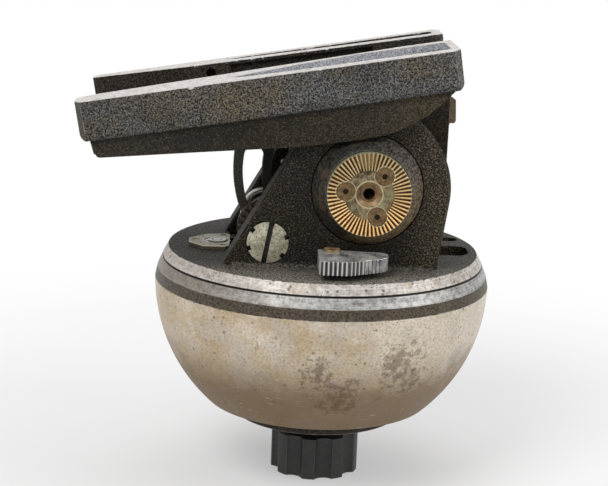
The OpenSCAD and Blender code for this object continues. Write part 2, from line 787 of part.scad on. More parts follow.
module tilt_drag_housing() {
    wall = 2;
    color(bare_steel) difference() {
        union() {
            at_tilt() round_y(drag_y0, drag_y1 - wall, drag_r, drag_r);
            translate([tilt_x - 14, drag_y0, deck_top]) cube([28, drag_y1 - wall - drag_y0, tilt_z - deck_top - drum_r]);
        }
        at_tilt() {
            round_y(drag_y0 - cut, drag_y1 + cut, drum_r + side_gap, drum_r + side_gap);
            round_y(drag_y0 + wall, drag_y1, drag_room_r, drag_room_r);
        }
        drag_screw_places() round_y(-6, 1, 1, 1);
    }
}

module drag_screw_places() {
    for (a = [45:90:315]) translate([tilt_x, 0, tilt_z]) rotate([0, -a, 0])
        translate([(drag_r + drag_room_r) / 2, drag_y1 - 2, 0]) children();
}

module tilt_drag_cover() {
    color(bare_steel) difference() {
        at_tilt() ring_y(drag_y1 - 2, drag_y1, drum_r + side_gap, drag_r);
        drag_screw_places() {
            round_y(-cut, 3, 1, 1);
            round_y(1, 3, 1.7, 1.7);
        }
    }
}

module drag_cover_screws() {
    color(bare_steel) drag_screw_places() translate([0, 1, 0]) rotate([-90, 0, 0]) cap_screw(1, 6, 1.6, 0.9);
}

module tilt_drag_rotor() {
    mid = (drag_y0 + drag_y1) / 2;
    color(bare_steel) at_tilt() ring_y(mid - 1, mid + 1, drum_r - drum_gap, drag_room_r - 0.5);
}

module tilt_lock_disc() {
    color(bare_steel) at_tilt() ring_y(lock_disc_y0, lock_disc_y1, drum_r - drum_gap, lock_disc_r);
}

module tilt_lock_shoe() {
    color(dark_bronze) translate([side_lever_x, 0, side_lever_z])
        round_y(lock_disc_y1 + face_gap, lock_disc_y1 + 5, side_stud_r, side_stud_r);
}

// Chrome lever of the pan lock

// Points of a row of ridges from p to q, standing out to the right of the way from p to q
function ridges(p, q, count) = let (step = (q - p) / count, out = -0.8 * left_of(unit(q - p)))
    [for (i = [0:count - 1]) each [p + step * (i + 0.1) + out, p + step * (i + 0.55) + out, p + step * (i + 0.8)]];

module pan_lock_outline() {
    front_left = [-4.9, -19.2];
    front_mid = [6.3, -19.4];
    front_right = [20.9, -11];
    polygon(concat([[-5.1, 2.8], [-6, 1.8], [-6, -18.2]],
        ridges(front_left, front_mid, 6),
        ridges(front_mid, front_right, 9),
        arc([19.5, -7.4], 3.8, -55, 0, 4),
        arc([19.9, -4], 3.4, 0, 90, 5)));
}

module pan_lock_lever() {
    color(bright_chrome) difference() {
        translate([deck_lever_x, deck_lever_y, deck_lever_z]) linear_extrude(deck_lever_t) pan_lock_outline();
        translate([deck_lever_x, deck_lever_y, deck_lever_z - cut]) cylinder(h = 12, r = lock_screw_r);
    }
}

module pan_lock_screw() {
    length = deck_lever_z + deck_lever_t - spigot_bottom + 6;
    color(brass) translate([deck_lever_x, deck_lever_y, deck_lever_z + deck_lever_t])
        slotted_screw(lock_screw_r, length, 3.4, 1, 1.1);
    color(brass) translate([deck_lever_x, deck_lever_y, 0])
        ring_z(deck_top + face_gap, deck_lever_z, lock_screw_r - 0.01, 4);
}

// Brown lever of the tilt lock, on the far cheek

module tilt_lock_lever() {
    tip = [60.6, 74.6];
    pivot = [side_lever_x, side_lever_z];
    color(dark_bronze) difference() {
        union() {
            translate([side_lever_x, 0, side_lever_z]) round_y(cheek_out + side_gap, side_lever_y + side_lever_t, 6, 6);
            plate_y(side_lever_y, side_lever_y + side_lever_t) polygon(concat(
                arc(pivot, 5.8, 200, 335, 12),
                [[54.4, 49], [60.6, 65.1]],
                arc([61.6, 66.5], 1.7, -70, 5, 4),
                [tip + [2.2, 1.4], tip + [0, 3], [54.6, 79], [53, 77.6], [51.6, 67]]));
        }
        translate([side_lever_x, 0, side_lever_z]) round_y(cheek_out, side_lever_y + side_lever_t + cut,
            side_stud_r - 1, side_stud_r - 1);
    }
}

module tilt_lock_screw() {
    seat = side_lever_y + side_lever_t;
    color(bare_steel) translate([side_lever_x, 0, side_lever_z]) {
        translate([0, seat, 0]) rotate([-90, 0, 0]) slotted_screw(side_stud_r - 1, seat - cheek_out, 4.4, 1.6, 1.2);
        round_y(lock_disc_y1 + 5 + face_gap, cheek_out + side_gap, side_stud_r, side_stud_r);
    }
}

// Tilting unit

// Plan of the channel between the rails, wide in front and narrow behind
channel_plan = [[-plat_front - cut, -30.5], [-107, -26], [23, -5], [plat_rear + cut, -4.6],
    [plat_rear + cut, 23.2], [25, 23], [-66, 29.2], [-plat_front - cut, 38]];

// Lower edge of the skirts: straight in front, then round behind
skirt_side = concat([[-112, rail_bottom + cut], [-111.2, 31.6]], arc([-108.6, 31.7], 2, 190, 265, 4),
    [[-67.7, 26.4], [-26, 22.8], [0, 22.3]], arc([1.5, 82.3], 60, -82, -50, 8),
    [[41, 37], [41, rail_bottom + cut]]);

module platform_plan() {
    dx = 2.7;
    dy = 4.5;
    polygon([[-plat_front + dx, -plat_half], [-plat_front, -plat_half + dy], [-plat_front, plat_half - dy],
        [-plat_front + dx, plat_half], [plat_rear - dx, plat_half], [plat_rear, plat_half - dy],
        [plat_rear, -plat_half + dy], [plat_rear - dx, -plat_half]]);
}

module platform_pockets() {
    near = [[-51, -31], [-47, -35.6], [-22, -37.4], [40.5, -37.4], [42.2, -35.6], [42.2, -12], [40.6, -10.3],
        [3, -11.4], [-21, -18.6]];
    far = [[-54, 38.5], [-49, 35.6], [25, 30.5], [40, 30.2], [41.5, 31.5], [41.5, 38.6], [40.2, 39.8], [-48, 40]];
    for (p = [near, far]) translate([0, 0, rail_top - pocket_depth]) linear_extrude(pocket_depth + cut) polygon(p);
}

// Rounded lower corners at the platform's two ends
module platform_end_rounds() {
    r = 3;
    for (s = [-1, 1]) translate([s < 0 ? -plat_front : plat_rear, 0, rail_bottom])
        scale_x(s) plate_y(-plat_half - cut, plat_half + cut)
            polygon(concat([[cut, -cut], [cut, r]], arc([-r, r], r, 0, -90, 8), [[-r, -cut]]));
}

module scale_x(s) {
    if (s < 0) mirror([1, 0, 0]) children();
    else children();
}

module platform() {
    groove_front = -54;
    groove_rear = 11.5;
    color(dark_paint) on_tilt() difference() {
        union() {
            translate([0, 0, rail_bottom]) linear_extrude(rail_top - rail_bottom) platform_plan();
            both_sides() plate_y(skirt_out - skirt_wall, skirt_out) polygon(skirt_side);
            // Cross wall under the front end
            translate([-110.5, -skirt_out + cut, 30.5]) cube([4, 2 * (skirt_out - cut), rail_bottom - 30]);
        }
        translate([0, 0, channel_floor]) linear_extrude(rail_top) polygon(channel_plan);
        platform_pockets();
        platform_end_rounds();
        // Groove and stop hole in the far rail's inner wall
        translate([groove_front, 0, rail_top - 6.2]) rotate([0, 0, -3.9])
            translate([0, 24.5, 0]) cube([groove_rear - groove_front, 6, 4.6]);
        translate([-61.3, 28, rail_top - 4.4]) rotate([-90, 0, 0]) cylinder(h = 6, r = 2.2);
        saddle_screw_places() {
            translate([0, 0, -30]) cylinder(h = 40, r = 2.5);
            cylinder(h = 10, r = 4.6);
        }
        fork_screw_places() {
            translate([0, 0, -30]) cylinder(h = 40, r = 2);
            cylinder(h = 10, r = 3.8);
        }
    }
}

saddle_points = [[-22, 0], [-22, 14], [30, 2], [30, 16]];
saddle_front = -30;
saddle_rear = 40;
saddle_half = 20;
saddle_plate_z = 33.2;

module saddle_screw_places() {
    for (p = saddle_points) translate([p[0], p[1], channel_floor - 4.2]) children();
}

module saddle() {
    web_half = 8;
    color(black_paint) on_tilt() difference() {
        union() {
            translate([saddle_front, -saddle_half, saddle_plate_z])
                cube([saddle_rear - saddle_front, 2 * saddle_half, rail_bottom - saddle_plate_z]);
            round_y(-web_half, web_half, saddle_hub_r, saddle_hub_r);
            round_y(sector_y1, -web_half + cut, saddle_hub_r, saddle_hub_r);
            plate_y(-web_half, web_half) polygon([[-22, 8], [saddle_front, saddle_plate_z],
                [saddle_front, rail_bottom], [43.8, rail_bottom], [42.1, 26.1], [37.8, 1.8], [30, -6], [10, -20],
                [-10, -18]]);
        }
        round_y(-20, 20, drum_r - drum_gap, drum_r - drum_gap);
        saddle_screw_places() translate([0, 0, -12]) cylinder(h = 20, r = 2.5);
        sector_screw_places() round_y(-cut, 8, 1.5, 1.5);
    }
}

module saddle_screws() {
    color(bare_steel) on_tilt() saddle_screw_places() cap_screw(2.5, 10, 4.4, 4);
}

// Solid of revolution for a drum end: spigot, rim disc, cone and seat
module drum_end_outline() {
    rotate([90, 0, 0]) rotate_extrude($fn = 96) polygon([[insert_r, drum_end_in - 8], [11.9, drum_end_in - 8],
        [11.9, drum_end_in], [drum_end_r, drum_end_in], [drum_end_r, cheek_out - 0.4], [drum_end_r - 0.5, cheek_out + 0.3],
        [rosette_r + 1, rosette_back - 0.5], [rosette_r + 0.5, rosette_back], [insert_r, rosette_back]]);
}

module tilt_drum() {
    color(bare_steel) at_tilt() ring_y(-drum_end_in, drum_end_in, 12, drum_r - drum_gap);
}

module rosette_screw_places() {
    at_tilt() for (a = rosette_screw_angles) rotate([0, -a, 0]) translate([rosette_pcd_r, 0, 0]) children();
}

module drum_end_near() {
    color(black_paint) difference() {
        at_tilt() drum_end_outline();
        rosette_screw_places() round_y(-rosette_back - cut, -rosette_back + 6, 1.6, 1.6);
    }
}

module drum_end_far() {
    mirror([0, 1, 0]) drum_end_near();
}

// One radial groove between two teeth. It deepens outwards, so all grooves end in one point.
module rosette_groove() {
    half_w = 0.42 * 2 * PI * rosette_r / rosette_teeth;
    deepening = atan(tooth_depth / rosette_r);
    rotate([0, deepening, 0]) rotate([90, 0, 90]) translate([0, 0, rosette_recess_r - 2])
        linear_extrude(rosette_r - rosette_recess_r + 6)
            polygon([[0, 0], [2 * half_w, 2 * tooth_depth], [-2 * half_w, 2 * tooth_depth]]);
}

module rosette() {
    recess = rosette_face - rosette_floor;
    color(brass) at_tilt() translate([0, -rosette_face, 0]) rotate([90, 0, 0]) difference() {
        translate([0, 0, rosette_back - rosette_face]) cylinder(h = rosette_face - rosette_back, r = rosette_r);
        for (i = [0:rosette_teeth - 1]) rotate([0, 0, i * 360 / rosette_teeth]) rosette_groove();
        translate([0, 0, -recess]) cylinder(h = 3, r = rosette_recess_r);
        translate([0, 0, rosette_back - rosette_face - cut]) cylinder(h = 8, r = insert_r);
        translate([0, 0, -recess - 1.4]) cylinder(h = 1.41, r1 = insert_r, r2 = 5.3);
        for (a = rosette_screw_angles) rotate([0, 0, a]) translate([rosette_pcd_r, 0, 0]) {
            translate([0, 0, -2.4]) cylinder(h = 4, r = 4);
            translate([0, 0, -6]) cylinder(h = 8, r = 1.6);
        }
        rotate([0, 0, 111]) translate([rosette_recess_r + 0.4, 0, -2]) cylinder(h = 4, r = 0.85);
    }
}

module rosette_near() {
    rosette();
}

module rosette_far() {
    mirror([0, 1, 0]) rosette();
}

module rosette_screws() {
    color(bare_steel) rosette_screw_places() translate([0, -rosette_face + 2.4, 0]) rotate([90, 0, 0])
        cap_screw(1.6, 7, 3.9, 1.9, 1.3);
}

module rosette_screws_near() {
    rosette_screws();
}

module rosette_screws_far() {
    mirror([0, 1, 0]) rosette_screws();
}

module rosette_inserts() {
    color(bare_steel) both_sides() at_tilt() ring_y(drum_end_in - 8, rosette_floor - 1.4, handle_thread_r, insert_r);
}

// Stop fork under the platform, astride the cross shaft when the head tilts forward
fork_in_r = inner_arm_r - inner_arm_t;
fork_foot_z = rail_bottom - 4;

// A point given in the platform's own directions, turned to the head's directions
function from_platform(p) = [p[0] * cos(rest_tilt) - p[1] * sin(rest_tilt),
    p[0] * sin(rest_tilt) + p[1] * cos(rest_tilt)];

// Both arms, the round closed end and the stem that hangs from the platform, as one outline
module fork_outline() {
    steps = 14;
    first = fork_closed - 1;
    polygon(concat(
        [for (p = [[-40.5, fork_foot_z + 1], [-56.5, fork_foot_z + 1], [-56.5, fork_foot_z - 8]]) from_platform(p)],
        [for (i = [0:steps]) let (a = first + (fork_tip - 1.5 - first) * i / steps)
            (fork_out_r - fork_taper * i / steps) * [cos(a), sin(a)]],
        arc([0, 0], fork_gap_r, fork_tip, fork_round_angle + 1, 12),
        arc(fork_mid_r * [cos(fork_round_angle), sin(fork_round_angle)], fork_round_r,
            fork_round_angle, fork_round_angle - 180, 12),
        arc([0, 0], inner_arm_r, fork_round_angle + 1, inner_tip, 12),
        arc([0, 0], fork_in_r, inner_tip, fork_closed - 4, 12),
        [from_platform([-40.5, fork_foot_z - 8])]));
}

module fork_screw_places() {
    for (p = [[-60, 0], [-36.5, 0]]) translate([p[0], p[1], channel_floor - 3]) children();
}

module stop_fork() {
    color(dark_paint) difference() {
        union() {
            at_tilt() plate_y(-fork_half, fork_half) fork_outline();
            on_tilt() translate([-64, -8, fork_foot_z]) cube([31.5, 16, rail_bottom - fork_foot_z]);
        }
        on_tilt() fork_screw_places() translate([0, 0, -20]) cylinder(h = 30, r = 2);
    }
}

module fork_screws() {
    color(bare_steel) on_tilt() fork_screw_places() cap_screw(2, 7, 3.6, 3);
}

module sector_screw_places() {
    hub_wall = 3.2;
    at_sector = [230, 265, 200];
    for (a = at_sector) rotate([0, -a, 0]) translate([drum_r + hub_wall, sector_y1, 0]) children();
}

module sector_gear() {
    root_r = sector_r - dedendum;
    step = 360 / sector_teeth;
    mesh = shaft_angle - rest_tilt;
    first = -floor((tilt_down + 12) / step);
    last = floor((tilt_up + 12) / step);
    color(bare_steel) on_tilt() difference() {
        union() {
            plate_y(sector_y0, sector_y1) polygon(concat([[0, 0]],
                [for (i = [first:last]) each turned(tooth(sector_teeth, root_r, sector_r + addendum), mesh + i * step)]));
            round_y(sector_y0, sector_y1, saddle_hub_r, saddle_hub_r);
        }
        round_y(sector_y0 - cut, sector_y1 + cut, drum_r - drum_gap, drum_r - drum_gap);
        sector_screw_places() {
            round_y(-5, 1, 1.5, 1.5);
            round_y(-5, -2.2, 2.7, 2.7);
        }
    }
}

module sector_screws() {
    color(bare_steel) on_tilt() sector_screw_places()
        translate([0, -2.2, 0]) rotate([90, 0, 0]) cap_screw(1.5, 7, 2.6, 1.6);
}

ball_shell();
band_ring();
ball_top_ring();
top_ring_screws();
pan_seal();
pan_spindle();
spindle_screws();
spindle_nut();
pan_drag_cup();
tie_down_stud();
clamp_cup();
tie_down_knob();
knob_insert();
pan_casting();
spindle_cover();
lower_bearing();
upper_bearing();
pan_drag_rotor();
rotor_screws();
level_frame();
level_vial();
level_screws();
pan_lock_shoe();
spring_cap_near();
spring_cap_far();
shaft_bushes();
spring_anchor();
counterbalance_spring();
tilt_bushes();
tilt_seals();
tilt_drag_housing();
tilt_drag_cover();
drag_cover_screws();
tilt_lock_shoe();
pan_lock_lever();
pan_lock_screw();
tilt_lock_lever();
tilt_lock_screw();
platform();
saddle();
saddle_screws();
tilt_drum();
drum_end_near();
drum_end_far();
rosette_near();
rosette_far();
rosette_screws_near();
rosette_screws_far();
rosette_inserts();
stop_fork();
fork_screws();
sector_gear();
sector_screws();
tilt_drag_rotor();
tilt_lock_disc();
counterbalance_shaft();
counterbalance_pinion();
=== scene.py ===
# %% [markdown]
# A fluid video head after years of work. This lesson rounds their corners a little, gives each of them
# the surface that a used head has, and sets up a plain studio around it.

import math

import bmesh
import bpy
from mathutils import Matrix, Vector


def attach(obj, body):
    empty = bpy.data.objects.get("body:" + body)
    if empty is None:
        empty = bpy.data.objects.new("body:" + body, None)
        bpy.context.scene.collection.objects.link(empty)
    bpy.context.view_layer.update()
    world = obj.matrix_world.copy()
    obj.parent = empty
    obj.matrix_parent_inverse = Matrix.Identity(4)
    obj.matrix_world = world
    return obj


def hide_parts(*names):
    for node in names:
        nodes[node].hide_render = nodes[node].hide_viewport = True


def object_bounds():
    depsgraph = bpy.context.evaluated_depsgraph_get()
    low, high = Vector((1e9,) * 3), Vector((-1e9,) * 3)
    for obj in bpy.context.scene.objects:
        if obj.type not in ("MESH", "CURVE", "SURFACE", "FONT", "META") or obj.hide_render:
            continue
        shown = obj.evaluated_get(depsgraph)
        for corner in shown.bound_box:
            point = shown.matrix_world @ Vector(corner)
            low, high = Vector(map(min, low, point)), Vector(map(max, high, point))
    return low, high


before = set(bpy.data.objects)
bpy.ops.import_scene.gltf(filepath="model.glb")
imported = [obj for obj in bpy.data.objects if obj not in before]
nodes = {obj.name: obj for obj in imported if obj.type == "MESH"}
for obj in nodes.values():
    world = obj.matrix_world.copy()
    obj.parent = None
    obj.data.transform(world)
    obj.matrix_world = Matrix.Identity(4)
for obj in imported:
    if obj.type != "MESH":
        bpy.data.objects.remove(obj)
cad_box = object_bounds()
MM = 0.001
print(len(nodes), "parts, from", [round(v, 4) for v in cad_box[0]], "to", [round(v, 4) for v in cad_box[1]])

# %% [markdown]
# The camera stands a little above the head and looks down on it. Its place was fitted to the outline of the
# ball and to the edges of the platform, so it is written as a rise, a turn and a distance from the ball's
# centre, and the lens follows from a focal length in pixels of the picture's width.

# %% Camera
RISE = math.radians(13.01)
TURN = math.radians(-2.3)
ROLL = math.radians(2.19)
AWAY = 0.7225
AIM_SIDE = -0.00784
AIM_UP = 0.01529
FOCAL_PIXELS = 1593.5
PICTURE_PIXELS = 608
SENSOR_MM = 36


def fitted_camera():
    back = Vector((math.sin(TURN) * math.cos(RISE), -math.cos(TURN) * math.cos(RISE), math.sin(RISE)))
    level_side = Vector((math.cos(TURN), math.sin(TURN), 0))
    level_up = back.cross(level_side)
    side = math.cos(ROLL) * level_side + math.sin(ROLL) * level_up
    up = math.cos(ROLL) * level_up - math.sin(ROLL) * level_side
    lens = bpy.data.cameras.new("studio_camera")
    lens.sensor_width = SENSOR_MM
    lens.lens = FOCAL_PIXELS / PICTURE_PIXELS * SENSOR_MM
    lens.clip_start = 0.05
    camera = bpy.data.objects.new("studio_camera", lens)
    turn = Matrix((side, up, back)).transposed().to_4x4()
    camera.matrix_world = Matrix.Translation(back * AWAY + side * AIM_SIDE + up * AIM_UP) @ turn
    bpy.context.scene.collection.objects.link(camera)
    return camera


bpy.context.scene.camera = fitted_camera()
bpy.context.scene.view_settings.view_transform = "Standard"
print("lens:", round(bpy.context.scene.camera.data.lens, 1), "mm")

# %% [markdown]
# Every finish below is a sum of patterns, and sums read best as sums. So one small class wraps an output
# socket, and adding or multiplying two of them adds the nodes that do it. Numbers go through Math nodes,
# colours and vectors through Vector Math and Mix nodes. All other nodes come from its one method, node().


# %% A socket that can be added and multiplied
class Wire:
    def __init__(self, tree, socket=None):
        self.tree = tree
        self.socket = socket

    def node(self, kind, settings=None, sockets=None, out=0):
        made = self.tree.nodes.new("ShaderNode" + kind)
        for name, value in (settings or {}).items():
            setattr(made, name, value)
        for name, value in (sockets or {}).items():
            self.plug(made.inputs[name], value)
        return Wire(self.tree, made.outputs[out])

    def plug(self, socket, value):
        if isinstance(value, Wire):
            self.tree.links.new(value.socket, socket)
        elif isinstance(value, (int, float)) and socket.type in ("VECTOR", "RGBA"):
            socket.default_value = [value] * len(socket.default_value)
        elif socket.type == "VECTOR":
            socket.default_value = list(value)[:3]
        else:
            socket.default_value = value

    def sum(self, operation, *terms):
        """Works out an operation on terms that can be wires, numbers or vectors."""
        wires = [term for term in terms if isinstance(term, Wire)]
        vectors = [term for term in terms if isinstance(term, (tuple, list, Vector))]
        plain = not vectors and all(wire.socket.type == "VALUE" for wire in wires)
        kind = "Math" if plain else "VectorMath"
        return self.node(kind, {"operation": operation}, dict(enumerate(terms)))

    def alone(self, operation):
        """Works out an operation that needs a single value, such as ABSOLUTE or COSINE."""
        return self.sum(operation, self)

    def __add__(self, other):
        return self.sum("ADD", self, other)

    def __sub__(self, other):
        return self.sum("SUBTRACT", self, other)

    def __mul__(self, other):
        return self.sum("MULTIPLY", self, other)

    def __truediv__(self, other):
        return self.sum("DIVIDE", self, other)

    def __pow__(self, other):
        return self.sum("POWER", self, other)

    def __radd__(self, other):
        return self.sum("ADD", other, self)

    def __rsub__(self, other):
        return self.sum("SUBTRACT", other, self)

    def __rmul__(self, other):
        return self.sum("MULTIPLY", other, self)

    def dot(self, other):
        return self.node("VectorMath", {"operation": "DOT_PRODUCT"}, {0: self, 1: other}, out="Value")

    def part(self, axis):
        return self.node("SeparateXYZ", sockets={"Vector": self}, out=axis)

    def between(self, low, high):
        """Rises smoothly from 0 to 1 while the value goes from low to high."""
        return self.node("MapRange", {"interpolation_type": "SMOOTHSTEP"},
                         {"Value": self, "From Min": low, "From Max": high})

    def mix(self, off, on):
        """Colour off where the mask is 0, colour on where it is 1."""
        return self.node("Mix", {"data_type": "RGBA"}, {0: self, 6: off, 7: on}, out=2)

    def most(self, other):
        return self.sum("MAXIMUM", self, other)

    def least(self, other):
        return self.sum("MINIMUM", self, other)


print("operators ready")

# %% [markdown]
# Colours are written as a person would read them off a picture, from 0 to 255, and turned into the light
# values that Blender counts in. A finish is a material in the making: it knows where a point lies in
# millimetres, and it has the few patterns that all of the surfaces share.


# %% Colours and finishes
def light_behind(share):
    """The amount of light behind one part of a colour on a screen, both from 0 to 1."""
    return share / 12.92 if share < 0.0404 else ((share + 0.055) / 1.055) ** 2.4


def tone(red, green, blue):
    return (*(light_behind(value / 255) for value in (red, green, blue)), 1)


class Finish:
    def __init__(self, name, metal=0.0, rough=0.5, coat=0.0, gloss=0.5):
        self.material = bpy.data.materials.new(name)
        self.material.use_nodes = True
        self.tree = self.material.node_tree
        self.skin = self.tree.nodes["Principled BSDF"]
        self.start = Wire(self.tree)
        self.set("Metallic", metal)
        self.set("Roughness", rough)
        self.set("Coat Weight", coat)
        self.set("Specular IOR Level", gloss)
        self.place = self.start.node("TexCoord", out="Object") / MM

    def set(self, name, value):
        self.start.plug(self.skin.inputs[name], value)

    def noise(self, size, detail=3.0, rough=0.55, place=None):
        """Clouds of about this size in millimetres, around a half."""
        return self.start.node("TexNoise", sockets={"Vector": place or self.place, "Scale": 1 / size,
                                                    "Detail": detail, "Roughness": rough})

    def specks(self, spacing, size, share):
        """Round specks on this share of the places, 1 inside and 0 outside."""
        sockets = {"Vector": self.place, "Scale": 1 / spacing}
        near = self.start.node("TexVoronoi", sockets=sockets, out="Distance")
        lot = self.start.node("TexVoronoi", sockets=sockets, out="Color").part("X")
        inside = 1 - near.between(size / spacing * 0.5, size / spacing)
        return inside * lot.between(0.98 - share, 1 - share)

    def corner(self, radius):
        """How much the surface turns within this many millimetres: 0 on a flat, about 0.3 on a corner."""
        rounded = self.start.node("Bevel", {"samples": 8}, {"Radius": radius * MM}, out="Normal")
        straight = self.start.node("NewGeometry", out="Normal")
        return 1 - rounded.dot(straight)

    def facing(self, direction):
        """How far the surface faces this way, from -1 to 1, in the part's own directions."""
        return self.start.node("TexCoord", out="Normal").dot(direction)

    def from_axis(self, x, z):
        """Distance in millimetres from an axis that runs across the head, and the turn around it."""
        side = self.place.part("X") - x
        up = self.place.part("Z") - z
        return (side ** 2 + up ** 2) ** 0.5, side.sum("ARCTAN2", up, side)

    def relief(self, height, depth, radius=0.5):
        """Raises the surface by a pattern, with depth in millimetres, on corners rounded by the radius."""
        rounded = self.start.node("Bevel", {"samples": 8}, {"Radius": radius * MM}, out="Normal")
        self.set("Normal", self.start.node("Bump", sockets={"Strength": 1.0, "Distance": depth * MM,
                                                           "Height": height, "Normal": rounded}))


def paint(finish, *names):
    for name in names:
        part = nodes[name]
        part.data.materials.clear()
        part.data.materials.append(finish.material)


print("dark paint reads as", [round(v, 3) for v in tone(60, 58, 54)[:3]])

# %% [markdown]
# The platform, the saddle and the cheeks are castings under crinkle paint. Up close such paint is a field
# of small bumps with dark gaps and dusty tops, so a fine noise drives both the relief and the colour. Where
# the paint is gone, the pale metal shows. Four functions can be handed in for one casting: where it is bare,
# where its corners are rubbed, how its colour changes from place to place, and what its metal looks like.

# %% Crinkle paint
DUST = tone(140, 134, 122)


def rail_metal(finish):
    cast = finish.noise(2.5, detail=6, rough=0.75)
    return cast.between(0.3, 0.62).mix(tone(158, 152, 146), tone(214, 209, 205))


def crinkle_paint(name, deep, pale, brown, wear=0.3, dusty=0.3, open_share=0.4,
                  bare=None, rubbed=None, shade=None, metal=rail_metal):
    finish = Finish(name, gloss=0.16)
    patches = finish.noise(24, detail=3)
    mottle = finish.noise(0.85, detail=4, rough=0.7)
    pepper = finish.noise(0.42, detail=2, rough=0.6)
    grain = (0.55 * mottle + 0.45 * pepper).between(open_share, open_share + 0.2)
    hue = (0.65 * patches + 0.35 * finish.noise(2.2, detail=3)).between(0.38, 0.64)
    colour = grain.mix(deep, hue.mix(pale, brown))
    if shade:
        colour = shade(finish, colour, grain)
    upward = finish.facing((0, 0, 1)).between(0.35, 0.95)
    dust = upward * patches.between(0.3, 0.7) * dusty
    colour = (dust * (0.35 + 0.65 * grain)).mix(colour, DUST)
    colour = (finish.specks(0.8, 0.2, 0.3) * 0.5).mix(colour, tone(170, 158, 130))
    colour = (finish.specks(1.7, 0.45, 0.35) * 0.7).mix(colour, tone(8, 8, 8))
    chips = (finish.noise(3.5, detail=5, rough=0.7) * finish.noise(30)).between(0.43, 0.45)
    rub = finish.corner(1.0) * 2.2 + finish.noise(3, detail=5, rough=0.7)
    rub = rub.between(0.95 - wear, 1.15 - wear) * finish.corner(1.0).between(0.02, 0.08)
    if rubbed:
        rub = rub * rubbed(finish)
    gone = (rub * 0.6).most(chips * 0.8)
    if bare:
        gone = gone.most(bare(finish))
    finish.set("Base Color", gone.mix(colour, metal(finish)))
    finish.set("Metallic", gone * 0.25)
    finish.set("Roughness", 0.66 - 0.2 * gone + 0.1 * (grain - 0.5))
    finish.relief((0.5 * mottle + 0.5 * pepper) * (1 - 0.9 * gone), 0.4)
    return finish


# %% [markdown]
# The platform leans nose down, and its two rails are bare on top where plates have slid on them for years.
# The mask for that is the height over the tilt axis, measured square to the leaning platform, so the paint
# ends at the top edge, a little ragged. The skirts below the rails are browner, and painted shade makes them
# darker under the rails' overhang; painted shade also darkens the lowest few millimetres of the rails' sides
# and the far rail's inner wall. The pocket in the near rail has a pale grey-blue coat, inside a line that
# follows its slanted wall. The pocket's places are millimetres from the tilt axis, along the platform and up
# from it, and from the head's middle plane.

# %% Platform and saddle
LEAN = math.radians(9.67)
TILT_X = 16
TILT_Z = 48.5
RAIL_BOTTOM = 37.4
RAIL_TOP = 54
PLAT_HALF = 46
POCKET_FRONT = -52
POCKET_FLOOR = 44.5
POCKET_INNER_Y = -10.3
POCKET_OUTER_Y = -38.2
POCKET_FIRST_WALL = (0.413, -9.9)
POCKET_SECOND_WALL = (0.3, -12.3)
PLATFORM_UP = (-math.sin(LEAN), 0, math.cos(LEAN))
PLATFORM_ALONG = (math.cos(LEAN), 0, math.sin(LEAN))


def over_axis(finish):
    """Height over the tilt axis in millimetres, square to the platform."""
    return finish.place.dot(PLATFORM_UP) + TILT_X * math.sin(LEAN) - TILT_Z * math.cos(LEAN)


def along_rails(finish):
    """Way along the platform in millimetres, from the tilt axis to the rear."""
    return finish.place.dot(PLATFORM_ALONG) - TILT_X * math.cos(LEAN) - TILT_Z * math.sin(LEAN)


def across(finish):
    """Distance from the head's middle plane in millimetres."""
    return finish.place.part("Y").alone("ABSOLUTE")


def rail_tops(finish):
    height = over_axis(finish)
    nicks = finish.noise(7, detail=4, rough=0.8).between(0.58, 0.68) * 0.8
    ragged = finish.noise(1.3, detail=4, rough=0.7) * 0.5 + nicks
    return (height + ragged).between(RAIL_TOP, RAIL_TOP + 0.15)


def rail_corners(finish):
    sides = across(finish).between(PLAT_HALF - 5, PLAT_HALF - 3)
    return sides * over_axis(finish).between(RAIL_BOTTOM + 1, RAIL_BOTTOM + 6)


def near_pocket(finish):
    y = finish.place.part("Y")
    along = along_rails(finish)
    walls = [slope * along + start for slope, start in (POCKET_FIRST_WALL, POCKET_SECOND_WALL)]
    wall = walls[0].least(walls[1]).least(POCKET_INNER_Y)
    inside = (1 - (y - wall).between(0.6, 1.0)) * y.between(POCKET_OUTER_Y, POCKET_OUTER_Y + 0.3)
    height = over_axis(finish).between(POCKET_FLOOR, POCKET_FLOOR + 0.5)
    return inside * height * along.between(POCKET_FRONT, POCKET_FRONT + 1)


def rail_shade(finish, colour, grain):
    clouds = finish.noise(26, detail=4, place=finish.place + 70).between(0.5, 0.62)
    colour = (clouds * 0.35).mix(colour, grain.mix(tone(12, 12, 15), tone(76, 77, 82)))
    # Painted shade under the rails' overhang: the skirts turn dark, with a brown tone.
    keel = 1 - over_axis(finish).between(RAIL_BOTTOM - 0.8, RAIL_BOTTOM + 0.1)
    shaded_keel_tone = finish.noise(18, detail=4).between(0.4, 0.65).mix(tone(46, 39, 28), tone(76, 66, 49))
    colour = (keel * 0.92).mix(colour, grain.mix(tone(15, 13, 10), shaded_keel_tone))
    # Painted shade on the lowest few millimetres of the rails' sides.
    rail_foot_shade = 1 - over_axis(finish).between(RAIL_BOTTOM, RAIL_BOTTOM + 4)
    colour = (rail_foot_shade * 0.3).mix(colour, tone(24, 22, 18))
    keel_rear = keel * along_rails(finish).between(-20, 30)
    colour = (keel_rear * 0.5).mix(colour, grain.mix(tone(34, 28, 20), tone(104, 92, 70)))
    ends = 1 - along_rails(finish).between(-100, -60)
    colour = (ends * 0.25).mix(colour, grain.mix(tone(26, 24, 20), tone(104, 96, 78)))
    # Painted shade on the far rail's inner wall, which faces the near rail.
    far_wall_shade = finish.place.part("Y").between(5, 6) * finish.facing((0, -1, 0)).between(0.4, 0.8)
    colour = (far_wall_shade * 0.85).mix(colour, grain.mix(tone(8, 7, 6), tone(66, 56, 44)))
    rear = along_rails(finish).between(40, 45)
    colour = (rear * 0.35).mix(colour, grain.mix(tone(52, 52, 52), tone(176, 172, 162)))
    return near_pocket(finish).mix(colour, grain.mix(tone(140, 142, 148), tone(214, 214, 218)))


